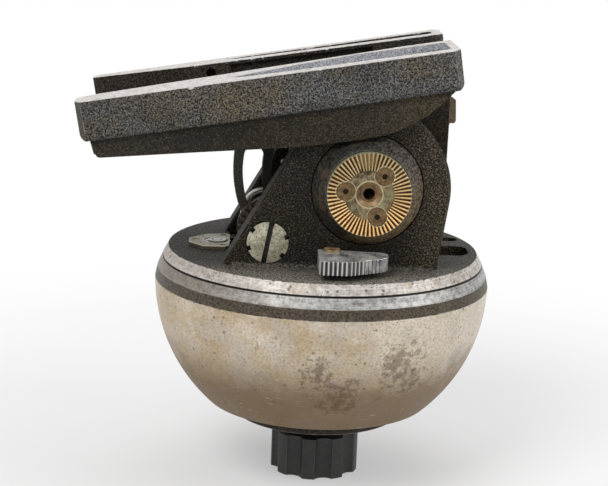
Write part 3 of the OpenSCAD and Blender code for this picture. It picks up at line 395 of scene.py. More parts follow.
rail_paint = crinkle_paint("rail_crinkle_paint", tone(16, 17, 20), tone(128, 128, 128), tone(130, 119, 99),
                           dusty=0.2, open_share=0.42, bare=rail_tops, rubbed=rail_corners, shade=rail_shade)
saddle_paint = crinkle_paint("saddle_crinkle_paint", tone(14, 12, 10), tone(78, 71, 60), tone(84, 72, 52),
                             wear=0.1, dusty=0.3, open_share=0.43)
paint(rail_paint, "platform")
paint(saddle_paint, "saddle")
print("rail tops at", RAIL_TOP, "mm over the tilt axis")

# %% [markdown]
# Deck and cheeks are one casting. Its rim was turned bright and left bare, so the paint stops in a sharp
# ring. The mask is the distance from the pan axis together with the height: everything under the deck's flat
# face and outside the paint's edge is turned metal, with fine grooves that run round it, brown stains and
# dark flecks. Sand and dust lie on the deck, mostly in front, and painted light makes the cheeks paler and
# browner at their rear.

# %% Deck and cheeks
DECK_TOP = 14.4
DECK_PAINT_R = 69.25
SEAM_Z = 9.55
SHAFT_X = -25.488
SHAFT_Z = 24.355
CLEAR_OF_DRUM_R = 31
CLEAR_OF_CAP_R = 10.5
SANDY_FRONT = (-66, -30)
REAR_PAINTED_LIGHT = (26, 46)


def grooves(finish, axis, centre=(0, 0, 0), size=0.5):
    """Fine rings round an axis: a noise that changes with distance and height, hardly with the angle."""
    offset = finish.place - centre
    parts = {name: offset.part(name) for name in "XYZ"}
    along = parts.pop(axis)
    first, second = parts.values()
    reach = (first ** 2 + second ** 2) ** 0.5
    angle = first.sum("ARCTAN2", first, second)
    lines = finish.start.node("CombineXYZ", sockets={"X": reach * 3, "Y": angle * 1.5, "Z": along * 3})
    return finish.noise(size * 3, detail=5, rough=0.8, place=lines)


def seam_dirt(finish):
    """Dirt in the joint between the deck and the ring under it."""
    away = finish.place.part("Z") - SEAM_Z
    return 1 - away.alone("ABSOLUTE").between(0.35, 0.6)


def rim_metal(finish):
    lines = grooves(finish, "Z", size=0.6)
    stains = finish.noise(8, detail=5, rough=0.7)
    smudge = finish.noise(2.4, detail=5, rough=0.75)
    left = finish.facing((-1, 0, 0)).between(0.0, 0.9)
    colour = (0.4 * lines + 0.6 * smudge).between(0.36, 0.6).mix(tone(146, 139, 130), tone(210, 205, 199))
    colour = (stains.between(0.5, 0.66) * 0.5).mix(colour, tone(142, 124, 98))
    colour = (left * 0.2).mix(colour, tone(150, 134, 110))
    colour = (finish.specks(1.5, 0.4, 0.4) * 0.8).mix(colour, tone(88, 66, 44))
    colour = (finish.specks(3.2, 0.9, 0.35) * 0.7).mix(colour, tone(70, 54, 38))
    return seam_dirt(finish).mix(colour, tone(34, 28, 22))


def from_pan_axis(finish):
    return (finish.place.part("X") ** 2 + finish.place.part("Y") ** 2) ** 0.5


def deck_rim(finish):
    ragged = (finish.noise(1.6, detail=4, rough=0.7) - 0.5) * 1.3
    outside = (from_pan_axis(finish) + ragged).between(DECK_PAINT_R - 0.15, DECK_PAINT_R + 0.1)
    low = 1 - finish.place.part("Z").between(DECK_TOP - 0.05, DECK_TOP + 0.05)
    return outside * low


def cheek_corners(finish):
    off_drum = finish.from_axis(TILT_X, TILT_Z)[0].between(CLEAR_OF_DRUM_R, CLEAR_OF_DRUM_R + 1.5)
    off_cap = finish.from_axis(SHAFT_X, SHAFT_Z)[0].between(CLEAR_OF_CAP_R, CLEAR_OF_CAP_R + 0.5)
    return off_drum * off_cap * finish.place.part("Z").between(DECK_TOP + 2, DECK_TOP + 5)


def deck_shade(finish, colour, grain):
    front = 1 - finish.place.part("Y").between(*SANDY_FRONT)
    low = 1 - finish.place.part("Z").between(DECK_TOP + 0.3, DECK_TOP + 2.5)
    flat = low * finish.facing((0, 0, 1)).between(0.3, 0.8)
    sand = finish.noise(0.95, detail=3, rough=0.8).between(0.42, 0.6)
    colour = (flat * 0.95).mix(colour, sand.mix(tone(7, 7, 7), tone(92, 88, 79)))
    colour = (flat * front * 0.85).mix(colour, sand.mix(tone(48, 46, 43), tone(172, 166, 153)))
    # Painted light: the cheeks turn paler and browner towards their rear, as if lit from the right.
    rear = finish.place.part("X").between(*REAR_PAINTED_LIGHT) * (1 - flat)
    return (rear * 0.75).mix(colour, grain.mix(tone(26, 22, 16), tone(146, 132, 106)))


deck_paint = crinkle_paint("deck_crinkle_paint", tone(6, 6, 5), tone(92, 86, 74), tone(98, 84, 62),
                           wear=0.1, open_share=0.47, dusty=0.1, bare=deck_rim, rubbed=cheek_corners,
                           shade=deck_shade, metal=rim_metal)
paint(deck_paint, "pan_casting")
print("paint ends", DECK_PAINT_R, "mm from the pan axis")

# %% [markdown]
# The other turned pieces share one finish: rings of a fine noise round their own axis, pale and dark metal,
# stains, small pits, and edges that catch the light. The ring under the deck is the one that shows most. It
# is duller than the rim, and browner on the side that faces left.


# %% Turned metal
def turned_metal(name, axis, centre, pale, dark, metal=0.85, rough=0.34, dirt=0.35, left_brown=0.0):
    finish = Finish(name, metal=metal)
    lines = grooves(finish, axis, centre)
    stains = finish.noise(9, detail=5, rough=0.7)
    smears = finish.noise(2.2, detail=4, rough=0.7)
    colour = (0.5 * lines + 0.5 * smears).between(0.36, 0.6).mix(dark, pale)
    colour = (stains.between(0.5, 0.66) * dirt).mix(colour, tone(92, 78, 60))
    colour = (finish.specks(2.4, 0.5, 0.3) * 0.7).mix(colour, tone(52, 42, 32))
    if left_brown:
        # The side that faces left is browner.
        left = finish.facing((-1, 0, 0)).between(0.0, 0.9)
        colour = (left * left_brown).mix(colour, tone(112, 96, 76))
        colour = seam_dirt(finish).mix(colour, tone(34, 28, 22))
    else:
        edge = finish.corner(0.5).between(0.02, 0.12)
        colour = (edge * 0.45).mix(colour, tone(236, 233, 227))
    finish.set("Base Color", colour)
    finish.set("Roughness", rough + 0.16 * (stains - 0.5) + 0.12 * (smears - 0.5))
    finish.relief(lines * 0.7 + smears * 0.3, 0.05, radius=0.3)
    return finish


PAN_AXIS = (0, 0, 0)
TILT_AXIS = (TILT_X, 0, TILT_Z)
SHAFT_AXIS = (SHAFT_X, 0, SHAFT_Z)
ring_metal = turned_metal("turned_ring_metal", "Z", PAN_AXIS, tone(184, 183, 180), tone(100, 96, 90),
                          metal=0.4, rough=0.42, dirt=0.45, left_brown=0.65)
inner_aluminium = turned_metal("turned_aluminium_inside", "Z", PAN_AXIS, tone(200, 198, 194),
                               tone(160, 158, 154))
cross_steel = turned_metal("turned_steel_across", "Y", TILT_AXIS, tone(158, 154, 148), tone(100, 96, 90))
shaft_steel = turned_metal("turned_shaft_steel", "Y", SHAFT_AXIS, tone(176, 172, 164), tone(112, 106, 98))
paint(ring_metal, "ball_top_ring")
turned = (ring_metal, inner_aluminium, cross_steel, shaft_steel)
print("turned finishes:", [finish.material.name for finish in turned])

# %% [markdown]
# The ball sits in a bowl and is turned in it again and again. That polishes it in clouds and presses small
# pits and dark spots into it. It is browner and darker towards the bottom, and painted light makes the side
# that faces right, front and a little up paler. It is layered the same way: pale metal, warm and grey
# clouds, the painted light, the darkening by height, spots, pits and a few scratches. The darkest stains lie
# where three directions from the ball's centre meet its surface.

# %% Ball and band
DARKENING_FROM_Z = -6
DARKENING_TO_Z = -50
STAINS = ((0.433, -0.843, -0.32), (0.072, -0.888, -0.453), (-0.024, -0.947, -0.32))


def ball_finish():
    finish = Finish("stained_ball_metal", metal=0.3, gloss=0.35)
    clouds = finish.noise(26, detail=4, rough=0.6)
    veils = finish.noise(9, detail=5, rough=0.65)
    fine = finish.noise(1.1, detail=4, rough=0.7)
    # Painted light: the side that faces right, front and a little up is paler.
    right = finish.facing((0.8, -0.5, 0.3)).between(0.2, 1.0)
    warm = (0.6 * clouds + 0.3 * veils + 0.1 * right).between(0.38, 0.6)
    colour = warm.mix(tone(186, 166, 134), tone(220, 208, 190))
    colour = (right * 0.25).mix(colour, tone(220, 213, 200))
    grey = finish.noise(15, detail=3, place=finish.place + 40).between(0.48, 0.62)
    colour = (grey * 0.45).mix(colour, tone(196, 189, 182))
    # Browner and darker towards the bottom, by height and clouds.
    low = 1 - finish.place.part("Z").between(DARKENING_TO_Z, DARKENING_FROM_Z)
    lower_darkening = (low * 1.25 + (veils - 0.5) * 0.9 + (clouds - 0.5) * 0.7).between(0.1, 1.15)
    colour = (lower_darkening * 0.85).mix(colour, tone(108, 85, 56))
    stained = finish.facing(STAINS[0]).between(0.96, 1.0)
    for direction in STAINS[1:]:
        stained = stained.most(finish.facing(direction).between(0.975, 1.0) * 0.8)
    spots = finish.noise(4, detail=6, rough=0.8) * 0.55 + clouds * 0.45 + stained * 0.12
    spots = spots.between(0.595, 0.66)
    colour = (spots * 0.6).mix(colour, tone(92, 70, 38))
    pits = finish.specks(1.6, 0.42, 0.35) * veils.between(0.35, 0.55)
    colour = (pits * 0.7).mix(colour, tone(82, 62, 38))
    colour = (finish.specks(4.2, 0.9, 0.4) * 0.6).mix(colour, tone(92, 70, 42))
    stretched = finish.place * (0.25, 0.25, 2.2)
    scratches = finish.noise(1.6, detail=2, place=stretched).between(0.66, 0.72)
    colour = (scratches * 0.3).mix(colour, tone(226, 219, 208))
    colour = (fine.between(0.44, 0.6) * 0.34).mix(colour, tone(132, 110, 78))
    finish.set("Base Color", colour)
    finish.set("Roughness", 0.38 + 0.2 * lower_darkening + 0.14 * (veils - 0.5) + 0.2 * spots)
    finish.relief(fine * 0.5 + veils * 0.5, 0.07, radius=0.4)
    return finish


def band_finish():
    finish = Finish("scuffed_band_paint", rough=0.5, gloss=0.25)
    lines = grooves(finish, "Z", size=0.4)
    scuffs = finish.noise(6, detail=5, rough=0.7)
    grain = finish.noise(0.9, detail=4, rough=0.7)
    colour = grain.between(0.36, 0.64).mix(tone(38, 33, 27), tone(94, 83, 68))
    colour = (scuffs.between(0.5, 0.7) * 0.5).mix(colour, tone(118, 102, 78))
    rub = finish.corner(0.8).between(0.02, 0.15) * scuffs.between(0.4, 0.62)
    colour = (rub * 0.7).mix(colour, tone(190, 183, 173))
    finish.set("Base Color", colour)
    finish.set("Roughness", 0.46 + 0.25 * (scuffs - 0.5))
    finish.relief(lines * 0.5 + grain * 0.5, 0.08, radius=0.3)
    return finish


ball_metal = ball_finish()
band_paint = band_finish()
paint(ball_metal, "ball_shell")
paint(band_paint, "band_ring")
print("ball and band done")

# %% [markdown]
# The rosettes are brass, and their pattern follows the teeth. There are 60 of them round the tilt axis, so
# the cosine of 60 times the turn is lowest on the ridges and highest in the valleys. A handle's teeth keep
# the ridges bright, the valleys are brown, and the flat middle has a greenish coat with brown blotches. Pale
# outlines run round the middle boss and round the seats of the three screws.


# %% Rosettes
TEETH = 60
ROSETTE_R = 17.7
RECESS_R = 10.3
ROSETTE_FACE = 51.5
BOSS_R = 5.3
SEAT_R = 3.9
SCREW_CIRCLE = 10
SCREW_ANGLES = (173, 52.6, -68.4)
UNWORN_SPOT = (14.5, 63.5)


def screw_places():
    """Middles of the three screws in a rosette, as (x, z)."""
    for angle in SCREW_ANGLES:
        a = math.radians(angle)
        yield TILT_X + SCREW_CIRCLE * math.cos(a), TILT_Z + SCREW_CIRCLE * math.sin(a)


def rosette_finish():
    finish = Finish("toothed_brass", metal=0.35, gloss=0.4)
    reach, turn = finish.from_axis(TILT_X, TILT_Z)
    blotch = finish.noise(4, detail=5, rough=0.7)
    grain = finish.noise(0.8, detail=4, rough=0.7)
    ridge = (0.5 - 0.5 * (turn * TEETH).alone("COSINE") + (grain - 0.5) * 0.6).between(0.36, 0.82)
    high = (finish.place.part("Z") - TILT_Z).between(-15, 12)
    ridge_tone = high.mix(tone(255, 208, 138), tone(190, 168, 120))
    stained = (blotch.between(0.5, 0.68) * 0.5).mix(ridge_tone, tone(150, 112, 66))
    toothed = ridge.mix(tone(74, 49, 27), stained)
    plate = (0.6 * blotch + 0.4 * grain).between(0.4, 0.6).mix(tone(72, 54, 31), tone(142, 132, 98))
    unworn = 1 - finish.from_axis(*UNWORN_SPOT)[0].between(2.5, 5)
    toothed = (unworn * 0.6).mix(toothed, tone(160, 137, 98))
    colour = reach.between(RECESS_R - 0.1, RECESS_R + 0.3).mix(plate, toothed)
    outline = reach.between(BOSS_R, BOSS_R + 0.3) * (1 - reach.between(BOSS_R + 0.5, BOSS_R + 0.8))
    for place in screw_places():
        away = finish.from_axis(*place)[0]
        seat = away.between(SEAT_R, SEAT_R + 0.2) * (1 - away.between(SEAT_R + 0.4, SEAT_R + 0.7))
        outline = outline.most(seat)
    colour = (outline * 0.55).mix(colour, tone(214, 202, 162))
    # Painted highlight: a pale rim just inside the rosette's edge, where its side wall catches the light.
    colour = (reach.between(ROSETTE_R - 0.35, ROSETTE_R - 0.1) * 0.7).mix(colour, tone(168, 168, 132))
    boss = 1 - reach.between(BOSS_R - 0.1, BOSS_R + 0.3)
    colour = (boss * 0.75).mix(colour, blotch.between(0.4, 0.6).mix(tone(84, 60, 36), tone(138, 108, 70)))
    finish.set("Base Color", colour)
    finish.set("Roughness", 0.42 + 0.2 * (blotch - 0.5))
    finish.relief(grain * 0.6 + blotch * 0.4, 0.1, radius=0.2)
    return finish


brass = rosette_finish()
paint(brass, "rosette_near", "rosette_far")
print("teeth:", TEETH)

# %% [markdown]
# Smaller brass and bronze pieces have the same patina without the teeth. The sockets of the rosettes'
# screws get painted shade inside: that is everything deeper than the heads' faces.


# %% Brass and bronze
def patina_metal(name, pale, mid, dark, rough=0.4, metal=0.5, face=None):
    finish = Finish(name, metal=metal, gloss=0.4)
    blotch = finish.noise(3, detail=5, rough=0.7)
    grain = finish.noise(0.8, detail=4, rough=0.7)
    colour = blotch.between(0.38, 0.62).mix(mid, pale)
    colour = (grain.between(0.5, 0.7) * 0.6).mix(colour, dark)
    ridge = finish.corner(0.5).between(0.02, 0.2) * blotch.between(0.2, 0.5)
    colour = (ridge * 0.5).mix(colour, pale)
    colour = (finish.specks(1.6, 0.35, 0.3) * 0.6).mix(colour, dark)
    if face:
        # Painted shade: everything deeper than the face is nearly black.
        colour = (1 - across(finish).between(face - 0.35, face - 0.15)).mix(colour, tone(22, 16, 10))
    finish.set("Base Color", colour)
    finish.set("Roughness", rough + 0.25 * (blotch - 0.5) + 0.1 * grain)
    finish.relief(grain * 0.6 + blotch * 0.4, 0.08, radius=0.25)
    return finish


boss_brass = patina_metal("rosette_screw_brass", tone(124, 100, 66), tone(90, 68, 42), tone(52, 38, 22),
                          face=ROSETTE_FACE - 0.5)
insert_bronze = patina_metal("insert_bronze", tone(128, 98, 62), tone(92, 68, 42), tone(48, 34, 20))
bronze = patina_metal("dark_bronze", tone(92, 80, 64), tone(66, 57, 45), tone(32, 27, 20),
                      rough=0.5, metal=0.3)
bush_brass = patina_metal("bush_brass", tone(190, 160, 112), tone(160, 128, 82), tone(100, 76, 46))
head_brass = patina_metal("lock_screw_brass", tone(172, 150, 112), tone(122, 100, 68), tone(70, 54, 34))
paint(boss_brass, "rosette_screws_near", "rosette_screws_far")
paint(insert_bronze, "rosette_inserts")
paint(bronze, "counterbalance_pinion", "spring_anchor")
paint(head_brass, "pan_lock_screw")
paint(bush_brass, "tilt_bushes", "shaft_bushes", "knob_insert", "tilt_lock_shoe", "pan_lock_shoe")
print("brass parts painted")

# %% [markdown]
# The lock lever on the deck is chromed, with a worn top, and with painted shade in the valleys between its
# ridges and painted highlights on the ridges. The end caps are plated too, but dull and slightly green, and
# painted shade fills their slot, their notches and the gap round them: everything deeper than the face is
# nearly black. The level's frame has painted highlights round its well and on its edges, and painted shade
# on its sides, in its well and in the screws' seats.


# %% Plated parts
CHEEK_OUT = 40
LEVER_PIVOT = (1.7, -46)
RIDGE_CORNER = (6.3, -19.4)
RIDGE_PITCH = 1.87
REAR_RIDGES = (0.867, 0.499)
GRIP_DEPTH = 6
LEVEL_TOP = 16
LEVEL_X = -47.5
LEVEL_Y = -1
WELL_R = 6
CAP_R = 8.9


def plated(name, pale, dark, speck, metal=0.6, rough=0.34, speckle=0.5, edge_light=0.6,
           top=None, face=None, shade=None):
    finish = Finish(name, metal=metal)
    haze = finish.noise(5, detail=5, rough=0.7)
    grain = finish.noise(0.8, detail=4, rough=0.75)
    colour = haze.between(0.35, 0.65).mix(dark, pale)
    if top:
        up = finish.facing((0, 0, 1)).between(0.5, 0.9)
        colour = (up * 0.9).mix(colour, (0.5 * haze + 0.5 * grain).between(0.4, 0.56).mix(*top))
    colour = (grain.between(0.5, 0.66) * speckle).mix(colour, speck)
    colour = (finish.specks(1.5, 0.4, 0.3) * 0.6).mix(colour, speck)
    edge = finish.corner(0.6).between(0.03, 0.16) * haze.between(0.3, 0.5)
    colour = (edge * edge_light).mix(colour, tone(224, 220, 212))
    if shade:
        colour = shade(finish, colour, grain)
    # Painted shade: everything deeper than the face, such as a slot, notches and the gap round the part, is
    # nearly black.
    if face:
        deep = 1 - across(finish).between(face - 0.3, face - 0.1)
        colour = deep.mix(colour, grain.between(0.4, 0.65).mix(tone(14, 13, 10), tone(58, 52, 38)))
    finish.set("Base Color", colour)
    finish.set("Roughness", rough + 0.3 * (haze - 0.4) + 0.1 * grain)
    finish.relief(grain * 0.6 + haze * 0.4, 0.1, radius=0.35)
    return finish


def lever_ridge_light_and_shade(finish, colour, grain):
    """Painted shade in the valleys of the lever's grip ridges and painted highlights on them; the ridges run
    in two straight rows from one corner.
    """
    x = finish.place.part("X") - LEVER_PIVOT[0] - RIDGE_CORNER[0]
    y = finish.place.part("Y") - LEVER_PIVOT[1] - RIDGE_CORNER[1]
    second_row = x.between(-0.1, 0.1)
    along = x * (1 - second_row) + (x * REAR_RIDGES[0] + y * REAR_RIDGES[1]) * second_row
    wave = 0.5 - 0.5 * (along * (math.tau / RIDGE_PITCH)).alone("COSINE")
    ridge = (wave + (grain - 0.5) * 0.5).between(0.3, 0.75)
    # The valleys' painted shade goes from dark blue to beige along the lever.
    valley_shade = x.between(-8, 14).mix(tone(34, 34, 52), tone(104, 102, 100))
    side = 1 - finish.facing((0, 0, 1)).between(0.3, 0.7)
    front = 1 - (y + 0.55 * x).between(GRIP_DEPTH, GRIP_DEPTH + 1)
    return (side * front * 0.85).mix(colour, ridge.mix(valley_shade, tone(200, 198, 190)))


def from_level(finish):
    """Distance in millimetres from the upright middle line of the level."""
    return ((finish.place.part("X") - LEVEL_X) ** 2 + (finish.place.part("Y") - LEVEL_Y) ** 2) ** 0.5


def level_light_and_shade(finish, colour, grain):
    """Painted shade on everything under the frame's top face: its sides, its well and the screws' seats;
    painted highlights round the well and on the edges.
    """
    # Painted highlight on the raised rim round the well.
    plate = from_level(finish).between(WELL_R + 0.5, WELL_R + 0.9)
    worn = (grain.between(0.42, 0.6) * 0.8 + 0.2).mix(tone(206, 196, 168), tone(112, 98, 70))
    colour = plate.mix(tone(228, 222, 202), worn)
    # Painted highlights on the edges.
    edge = finish.corner(0.9).between(0.02, 0.1)
    colour = edge.mix(colour, tone(222, 214, 192))
    low = 1 - finish.place.part("Z").between(LEVEL_TOP - 0.5, LEVEL_TOP - 0.2)
    return (low * 0.85).mix(colour, grain.between(0.4, 0.6).mix(tone(34, 27, 18), tone(84, 72, 50)))


def cap_gradient(finish, colour, grain):
    """The end cap is palest at its upper front and brown at its lower rear."""
    # A gradient by place across the cap's face.
    lower = ((finish.place.part("X") - SHAFT_X) * 0.5 - (finish.place.part("Z") - SHAFT_Z) * 0.87) / CAP_R
    colour = (lower.between(-0.5, 1.1) * 0.6).mix(colour, tone(104, 97, 72))
    return (grain.between(0.5, 0.6) * 0.5).mix(colour, tone(62, 56, 40))


lever_chrome = plated("rubbed_chrome", tone(176, 174, 170), tone(84, 84, 88), tone(44, 43, 44),
                      speckle=0.35, edge_light=0.9, top=(tone(92, 95, 102), tone(232, 231, 226)),
                      shade=lever_ridge_light_and_shade)
cap_plate = plated("dull_cap_plating", tone(216, 213, 188), tone(150, 146, 120), tone(70, 65, 48),
                   metal=0.15, rough=0.5, speckle=0.6, edge_light=0.25, face=CHEEK_OUT, shade=cap_gradient)
level_plate = plated("level_frame_metal", tone(92, 78, 56), tone(58, 46, 32), tone(40, 30, 20),
                     metal=0.3, rough=0.4, edge_light=1.0, top=(tone(150, 138, 112), tone(212, 204, 182)),
                     shade=level_light_and_shade)
fastener_steel = plated("fastener_steel", tone(128, 122, 112), tone(84, 78, 70), tone(46, 41, 34))
paint(lever_chrome, "pan_lock_lever")
paint(cap_plate, "spring_cap_near", "spring_cap_far")
paint(level_plate, "level_frame")
print("plated parts painted")

# %% [markdown]
# The tilt unit's round ends are satin black with a rubbed rim, and their turning marks run round the tilt
# axis. Their rear carries painted light: a brown sheen on the side that faces down and back, and a grey
# highlight on the side that faces up and back. The forked stop arm is bare casting: its outer arm is paler
# and its inner arm darker, so its mask is the distance from the tilt axis.


# %% Drum ends, fork and brown lever
OUTER_ARM_R = 49


def drum_paint():
    finish = Finish("drum_end_paint", rough=0.42, gloss=0.3)
    lines = grooves(finish, "Y", TILT_AXIS)
    haze = finish.noise(7, detail=5, rough=0.7)
    grain = finish.noise(1.1, detail=4, rough=0.7)
    colour = grain.between(0.4, 0.62).mix(tone(12, 11, 10), tone(58, 54, 48))
    colour = (haze.between(0.5, 0.66) * 0.5).mix(colour, tone(90, 74, 54))
    # Painted sheen, brown, on the side that faces down and back.
    low_rear_sheen = finish.facing((0.75, -0.2, -0.6)).between(0.1, 0.8)
    brown = grain.between(0.4, 0.6).mix(tone(70, 56, 40), tone(150, 130, 100))
    colour = (low_rear_sheen * 0.7).mix(colour, brown)
    # Painted highlight, grey, on the side that faces up and back.
    high_rear_highlight = finish.facing((0.75, -0.2, 0.6)).between(0.4, 0.95)
    grey = grain.between(0.42, 0.6).mix(tone(32, 30, 27), tone(122, 116, 106))
    colour = (high_rear_highlight * 0.5).mix(colour, grey)
    rub = finish.corner(0.9).between(0.02, 0.14) * haze.between(0.3, 0.55)
    colour = (rub * 0.4).mix(colour, tone(150, 142, 128))
    finish.set("Base Color", colour)
    finish.set("Roughness", 0.44 + 0.2 * (haze - 0.5))
    finish.relief(lines * 0.4 + grain * 0.6, 0.12, radius=0.5)
    return finish


def fork_finish():
    finish = Finish("fork_casting", rough=0.55, gloss=0.2)
    outer = finish.from_axis(TILT_X, TILT_Z)[0].between(OUTER_ARM_R, OUTER_ARM_R + 2)
    grain = finish.noise(0.6, detail=4, rough=0.7)
    haze = finish.noise(8, detail=4)
    dark_arm = grain.between(0.4, 0.62).mix(tone(14, 12, 9), tone(62, 53, 44))
    pale_arm = grain.between(0.4, 0.62).mix(tone(48, 45, 38), tone(112, 106, 94))
    colour = outer.mix(dark_arm, pale_arm)
    rub = finish.corner(0.8).between(0.02, 0.14) * haze.between(0.3, 0.6)
    colour = (rub * (0.35 + 0.45 * outer)).mix(colour, tone(190, 186, 176))
    finish.set("Base Color", colour)
    finish.set("Roughness", 0.55 + 0.2 * (haze - 0.5))
    finish.relief(grain, 0.2, radius=0.6)
    return finish


drum_black = drum_paint()
fork_metal = fork_finish()
brown_lever = patina_metal("brown_lever", tone(126, 108, 84), tone(98, 82, 60), tone(58, 46, 32),
                           rough=0.5, metal=0.2)
paint(drum_black, "drum_end_near", "drum_end_far")
paint(fork_metal, "stop_fork")
paint(brown_lever, "tilt_lock_lever")
print("drum ends, fork and lever painted")

# %% [markdown]
# Seals are rubber, the knob under the ball is moulded plastic with a fine skin, and the castings inside the
# ball stay plain with sand marks. None of these is bright, so their relief carries most of the look.


# %% Rubber, plastic and inside castings
def matt(name, deep, pale, rough=0.7, grain_size=0.9):
    finish = Finish(name, rough=rough)
    grain = finish.noise(grain_size, detail=4, rough=0.7)
    haze = finish.noise(11, detail=4)
    colour = (0.6 * grain + 0.4 * haze).between(0.32, 0.68).mix(deep, pale)
    edge = finish.corner(0.7).between(0.03, 0.16)
    colour = (edge * 0.35).mix(colour, tone(150, 146, 138))
    finish.set("Base Color", colour)
    finish.set("Roughness", rough + 0.2 * (haze - 0.5))
    finish.relief(grain, 0.12, radius=0.4)
    return finish


seal_rubber = matt("seal_rubber", tone(20, 20, 20), tone(44, 43, 41), rough=0.75)
knob_plastic = matt("knob_plastic", tone(26, 26, 26), tone(52, 51, 49), rough=0.5, grain_size=1.6)
inside_casting = matt("inside_casting", tone(108, 105, 98), tone(156, 152, 144), rough=0.6, grain_size=1.4)
cup_paint = crinkle_paint("clamp_cup_paint", tone(20, 19, 17), tone(80, 77, 70), tone(66, 58, 46), wear=0.3)
paint(seal_rubber, "pan_seal", "tilt_seals")
paint(knob_plastic, "tie_down_knob")
paint(cup_paint, "clamp_cup")
paint(inside_casting, "pan_drag_cup", "tilt_drag_housing", "tilt_drag_cover", "spindle_cover")
paint(inner_aluminium, "pan_spindle", "spindle_nut", "lower_bearing", "upper_bearing", "pan_drag_rotor",
      "tie_down_stud")
paint(cross_steel, "tilt_drum", "tilt_drag_rotor", "tilt_lock_disc", "sector_gear")
paint(shaft_steel, "counterbalance_shaft")
paint(fastener_steel, "top_ring_screws", "spindle_screws", "rotor_screws", "level_screws",
      "drag_cover_screws", "tilt_lock_screw", "saddle_screws", "fork_screws", "sector_screws")
print("inside parts painted")

# %% [markdown]
# The counterbalance spring is a flat strip wound in about two and a half turns. The strip's edges are rolled
# round, and light runs along them, so the piece is made again here with a rounder section than the CAD solid
# needs. The route is the same: a short straight from the anchor, the spiral, and a last bend square to the
# shaft. It is worked out in millimetres around the shaft, as (along the head, up).

# %% Spiral spring
SPRING_MIDDLE_Y = 18
SPRING_OUT_R = 14.2
STRIP_T = 2.0
STRIP_W = 8.0
SPRING_PITCH = 2.7
SHAFT_R = 3.5
ANCHOR_FACE_X = -39.5
STEPS_PER_TURN = 24
LAST_BEND = 12


def spring_route():
    step = 360 / STEPS_PER_TURN
    outer = SPRING_OUT_R - STRIP_T / 2
    inner = SHAFT_R + 0.3 + STRIP_T + 0.4
    count = round((outer - inner) / SPRING_PITCH * STEPS_PER_TURN)
    anchor = ANCHOR_FACE_X - SHAFT_X
    route = [(anchor + 0.3, -outer), (anchor + 2.3, -outer)]
    for i in range(count + 1):
        a = math.radians(-90 + i * step)
        r = outer - SPRING_PITCH * i / STEPS_PER_TURN
        route.append((r * math.cos(a), r * math.sin(a)))
    last = math.radians(-90 + count * step + LAST_BEND)
    for r in (inner - 0.5, SHAFT_R + 0.3):
        route.append((r * math.cos(last), r * math.sin(last)))
    return [Vector(p) for p in route]


def strip_section(corners=5):
    """Half-round edges on a flat strip: points as (across the thickness, along the width)."""
    round_r = STRIP_T * 0.48
    points = []
    for end, first in ((1, 0), (-1, 180)):
        for i in range(corners + 1):
            a = math.radians(first + 180 * i / corners)
            points.append((round_r * math.cos(a), end * (STRIP_W / 2 - round_r) + round_r * math.sin(a)))
    return points


def strip_ring(route, i, section):
    """The strip's section at one point of the route, square to the way it runs there."""
    here = route[i]
    before = (here - route[i - 1]).normalized() if i else (route[1] - here).normalized()
    after = (route[i + 1] - here).normalized() if i + 1 < len(route) else before
    outward = Vector((-(before + after).y, (before + after).x)).normalized()
    stretch = 1 / max(0.6, outward.dot(Vector((-before.y, before.x))))
    for thick, wide in section:
        point = here + outward * thick * stretch
        yield Vector((SHAFT_X + point.x, SPRING_MIDDLE_Y + wide, SHAFT_Z + point.y)) * MM


def wound_spring():
    route = spring_route()
    section = strip_section()
    made = bmesh.new()
    rings = [[made.verts.new(point) for point in strip_ring(route, i, section)] for i in range(len(route))]
    size = len(section)
    for a, b in zip(rings, rings[1:]):
        for k in range(size):
            made.faces.new((a[k], a[(k + 1) % size], b[(k + 1) % size], b[k]))
    made.faces.new(rings[0][::-1])
    made.faces.new(rings[-1])
    bmesh.ops.recalc_face_normals(made, faces=made.faces)
    mesh = bpy.data.meshes.new("wound_spring")
    made.to_mesh(mesh)
    made.free()
    mesh.shade_smooth()
    spring = bpy.data.objects.new("wound_spring", mesh)
    bpy.context.scene.collection.objects.link(spring)
    return spring


spring_steel = plated("oiled_spring_steel", tone(216, 209, 196), tone(140, 128, 112), tone(62, 50, 38),
                      rough=0.26)
spring = wound_spring()
spring.data.materials.append(spring_steel.material)
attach(spring, "pan_unit")
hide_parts("counterbalance_spring")
print("spring with", len(spring.data.polygons), "faces")

# %% [markdown]
# The level's vial is a low glass dome over a pale liquid with a grey ring, with painted shade round its edge
# where the wall of its seat shadows it. Real glass over a real liquid would cost many light bounces for a
# few pixels, so the dome gets a clear coat over the liquid's colour.


# %% Level vial
VIAL_RING_R = (1.9, 2.5)
VIAL_TOP_R = 4


def vial_finish():
    finish = Finish("vial_glass", coat=0.35, gloss=0.3)
    haze = finish.noise(2.5, detail=4)
    colour = haze.between(0.3, 0.7).mix(tone(176, 172, 148), tone(208, 204, 184))
    reach = from_level(finish)
    inner, outer = VIAL_RING_R
    ring = reach.between(inner, inner + 0.15) * (1 - reach.between(outer - 0.15, outer))
    seat = reach.between(VIAL_TOP_R, VIAL_TOP_R + 0.7)
    colour = (ring * 0.4).mix(colour, tone(28, 28, 26))
    # Painted shade round the vial's edge, where the wall of its seat shadows it.
    colour = (seat * 0.9).mix(colour, tone(58, 56, 38))
    finish.set("Base Color", colour)
    finish.set("Roughness", 0.25 + 0.15 * haze)
    finish.relief(haze, 0.03, radius=0.3)
    return finish


vial_glass = vial_finish()
paint(vial_glass, "level_vial")
print("vial painted")

# %% [markdown]
# The studio is plain: a large soft lamp from the upper left, a weaker one from the right, a wide one from
# above and behind, and an even pale world. The floor is pale too, just under the head's lowest point. To the
# camera and in reflections the world is white, and far from the head the floor fades to the same white,
# while close by it keeps the head's shadow.

# %% Lamps, world and floor
FLOOR_GAP = 0.0002
FLOOR_Z = cad_box[0].z - FLOOR_GAP
FLOOR_HALF = 6.0
FADE = (120, 420)


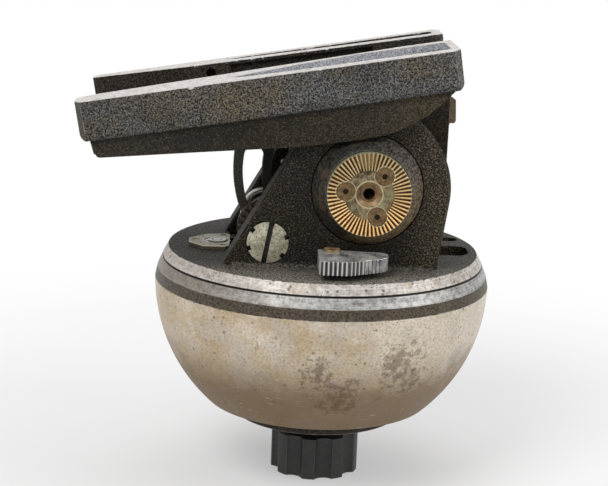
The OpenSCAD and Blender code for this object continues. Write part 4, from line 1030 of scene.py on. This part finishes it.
def soft_lamp(name, place, size, watts):
    source = bpy.data.lights.new(name, "AREA")
    source.size = size
    source.energy = watts
    lamp = bpy.data.objects.new(name, source)
    lamp.location = place
    lamp.rotation_euler = (Vector((0, 0, 0.02)) - Vector(place)).to_track_quat("-Z", "Y").to_euler()
    bpy.context.scene.collection.objects.link(lamp)


soft_lamp("key_lamp", (-0.55, -0.75, 0.95), 0.6, 8)
soft_lamp("side_lamp", (0.95, -0.35, 0.55), 0.5, 3.5)
soft_lamp("top_lamp", (0.05, 0.35, 1.1), 0.9, 4)


def white_rays(wire):
    """1 for the rays that see the background itself: from the camera, and off metal or through glass."""
    camera, glossy, through = [wire.node("LightPath", out="Is " + kind + " Ray")
                               for kind in ("Camera", "Glossy", "Transmission")]
    return camera.most(glossy).most(through)


world = bpy.data.worlds.new("studio_world")
bpy.context.scene.world = world
world.use_nodes = True
start = Wire(world.node_tree)
background = world.node_tree.nodes["Background"]
background.inputs["Strength"].default_value = 1
start.plug(background.inputs["Color"], white_rays(start).mix((0.38, 0.38, 0.39, 1), (1, 1, 1, 1)))


def studio_floor():
    mesh = bpy.data.meshes.new("studio_floor")
    corners = [(x * FLOOR_HALF, y * FLOOR_HALF, FLOOR_Z) for x, y in ((-1, -1), (1, -1), (1, 1), (-1, 1))]
    mesh.from_pydata(corners, [], [(0, 1, 2, 3)])
    floor = bpy.data.objects.new("studio_floor", mesh)
    bpy.context.scene.collection.objects.link(floor)
    finish = Finish("studio_floor", rough=0.9)
    finish.set("Base Color", tone(242, 242, 242))
    far = from_pan_axis(finish).between(*FADE)
    glow = finish.start.node("Emission", sockets={"Color": (1, 1, 1, 1), "Strength": 1.0})
    shown = white_rays(finish.start)
    near = Wire(finish.tree, finish.skin.outputs[0])
    mixed = finish.start.node("MixShader", sockets={0: shown * (0.35 + 0.65 * far), 1: near, 2: glow})
    finish.tree.links.new(mixed.socket, finish.tree.nodes["Material Output"].inputs["Surface"])
    mesh.materials.append(finish.material)


studio_floor()
print("floor at", round(FLOOR_Z, 4))
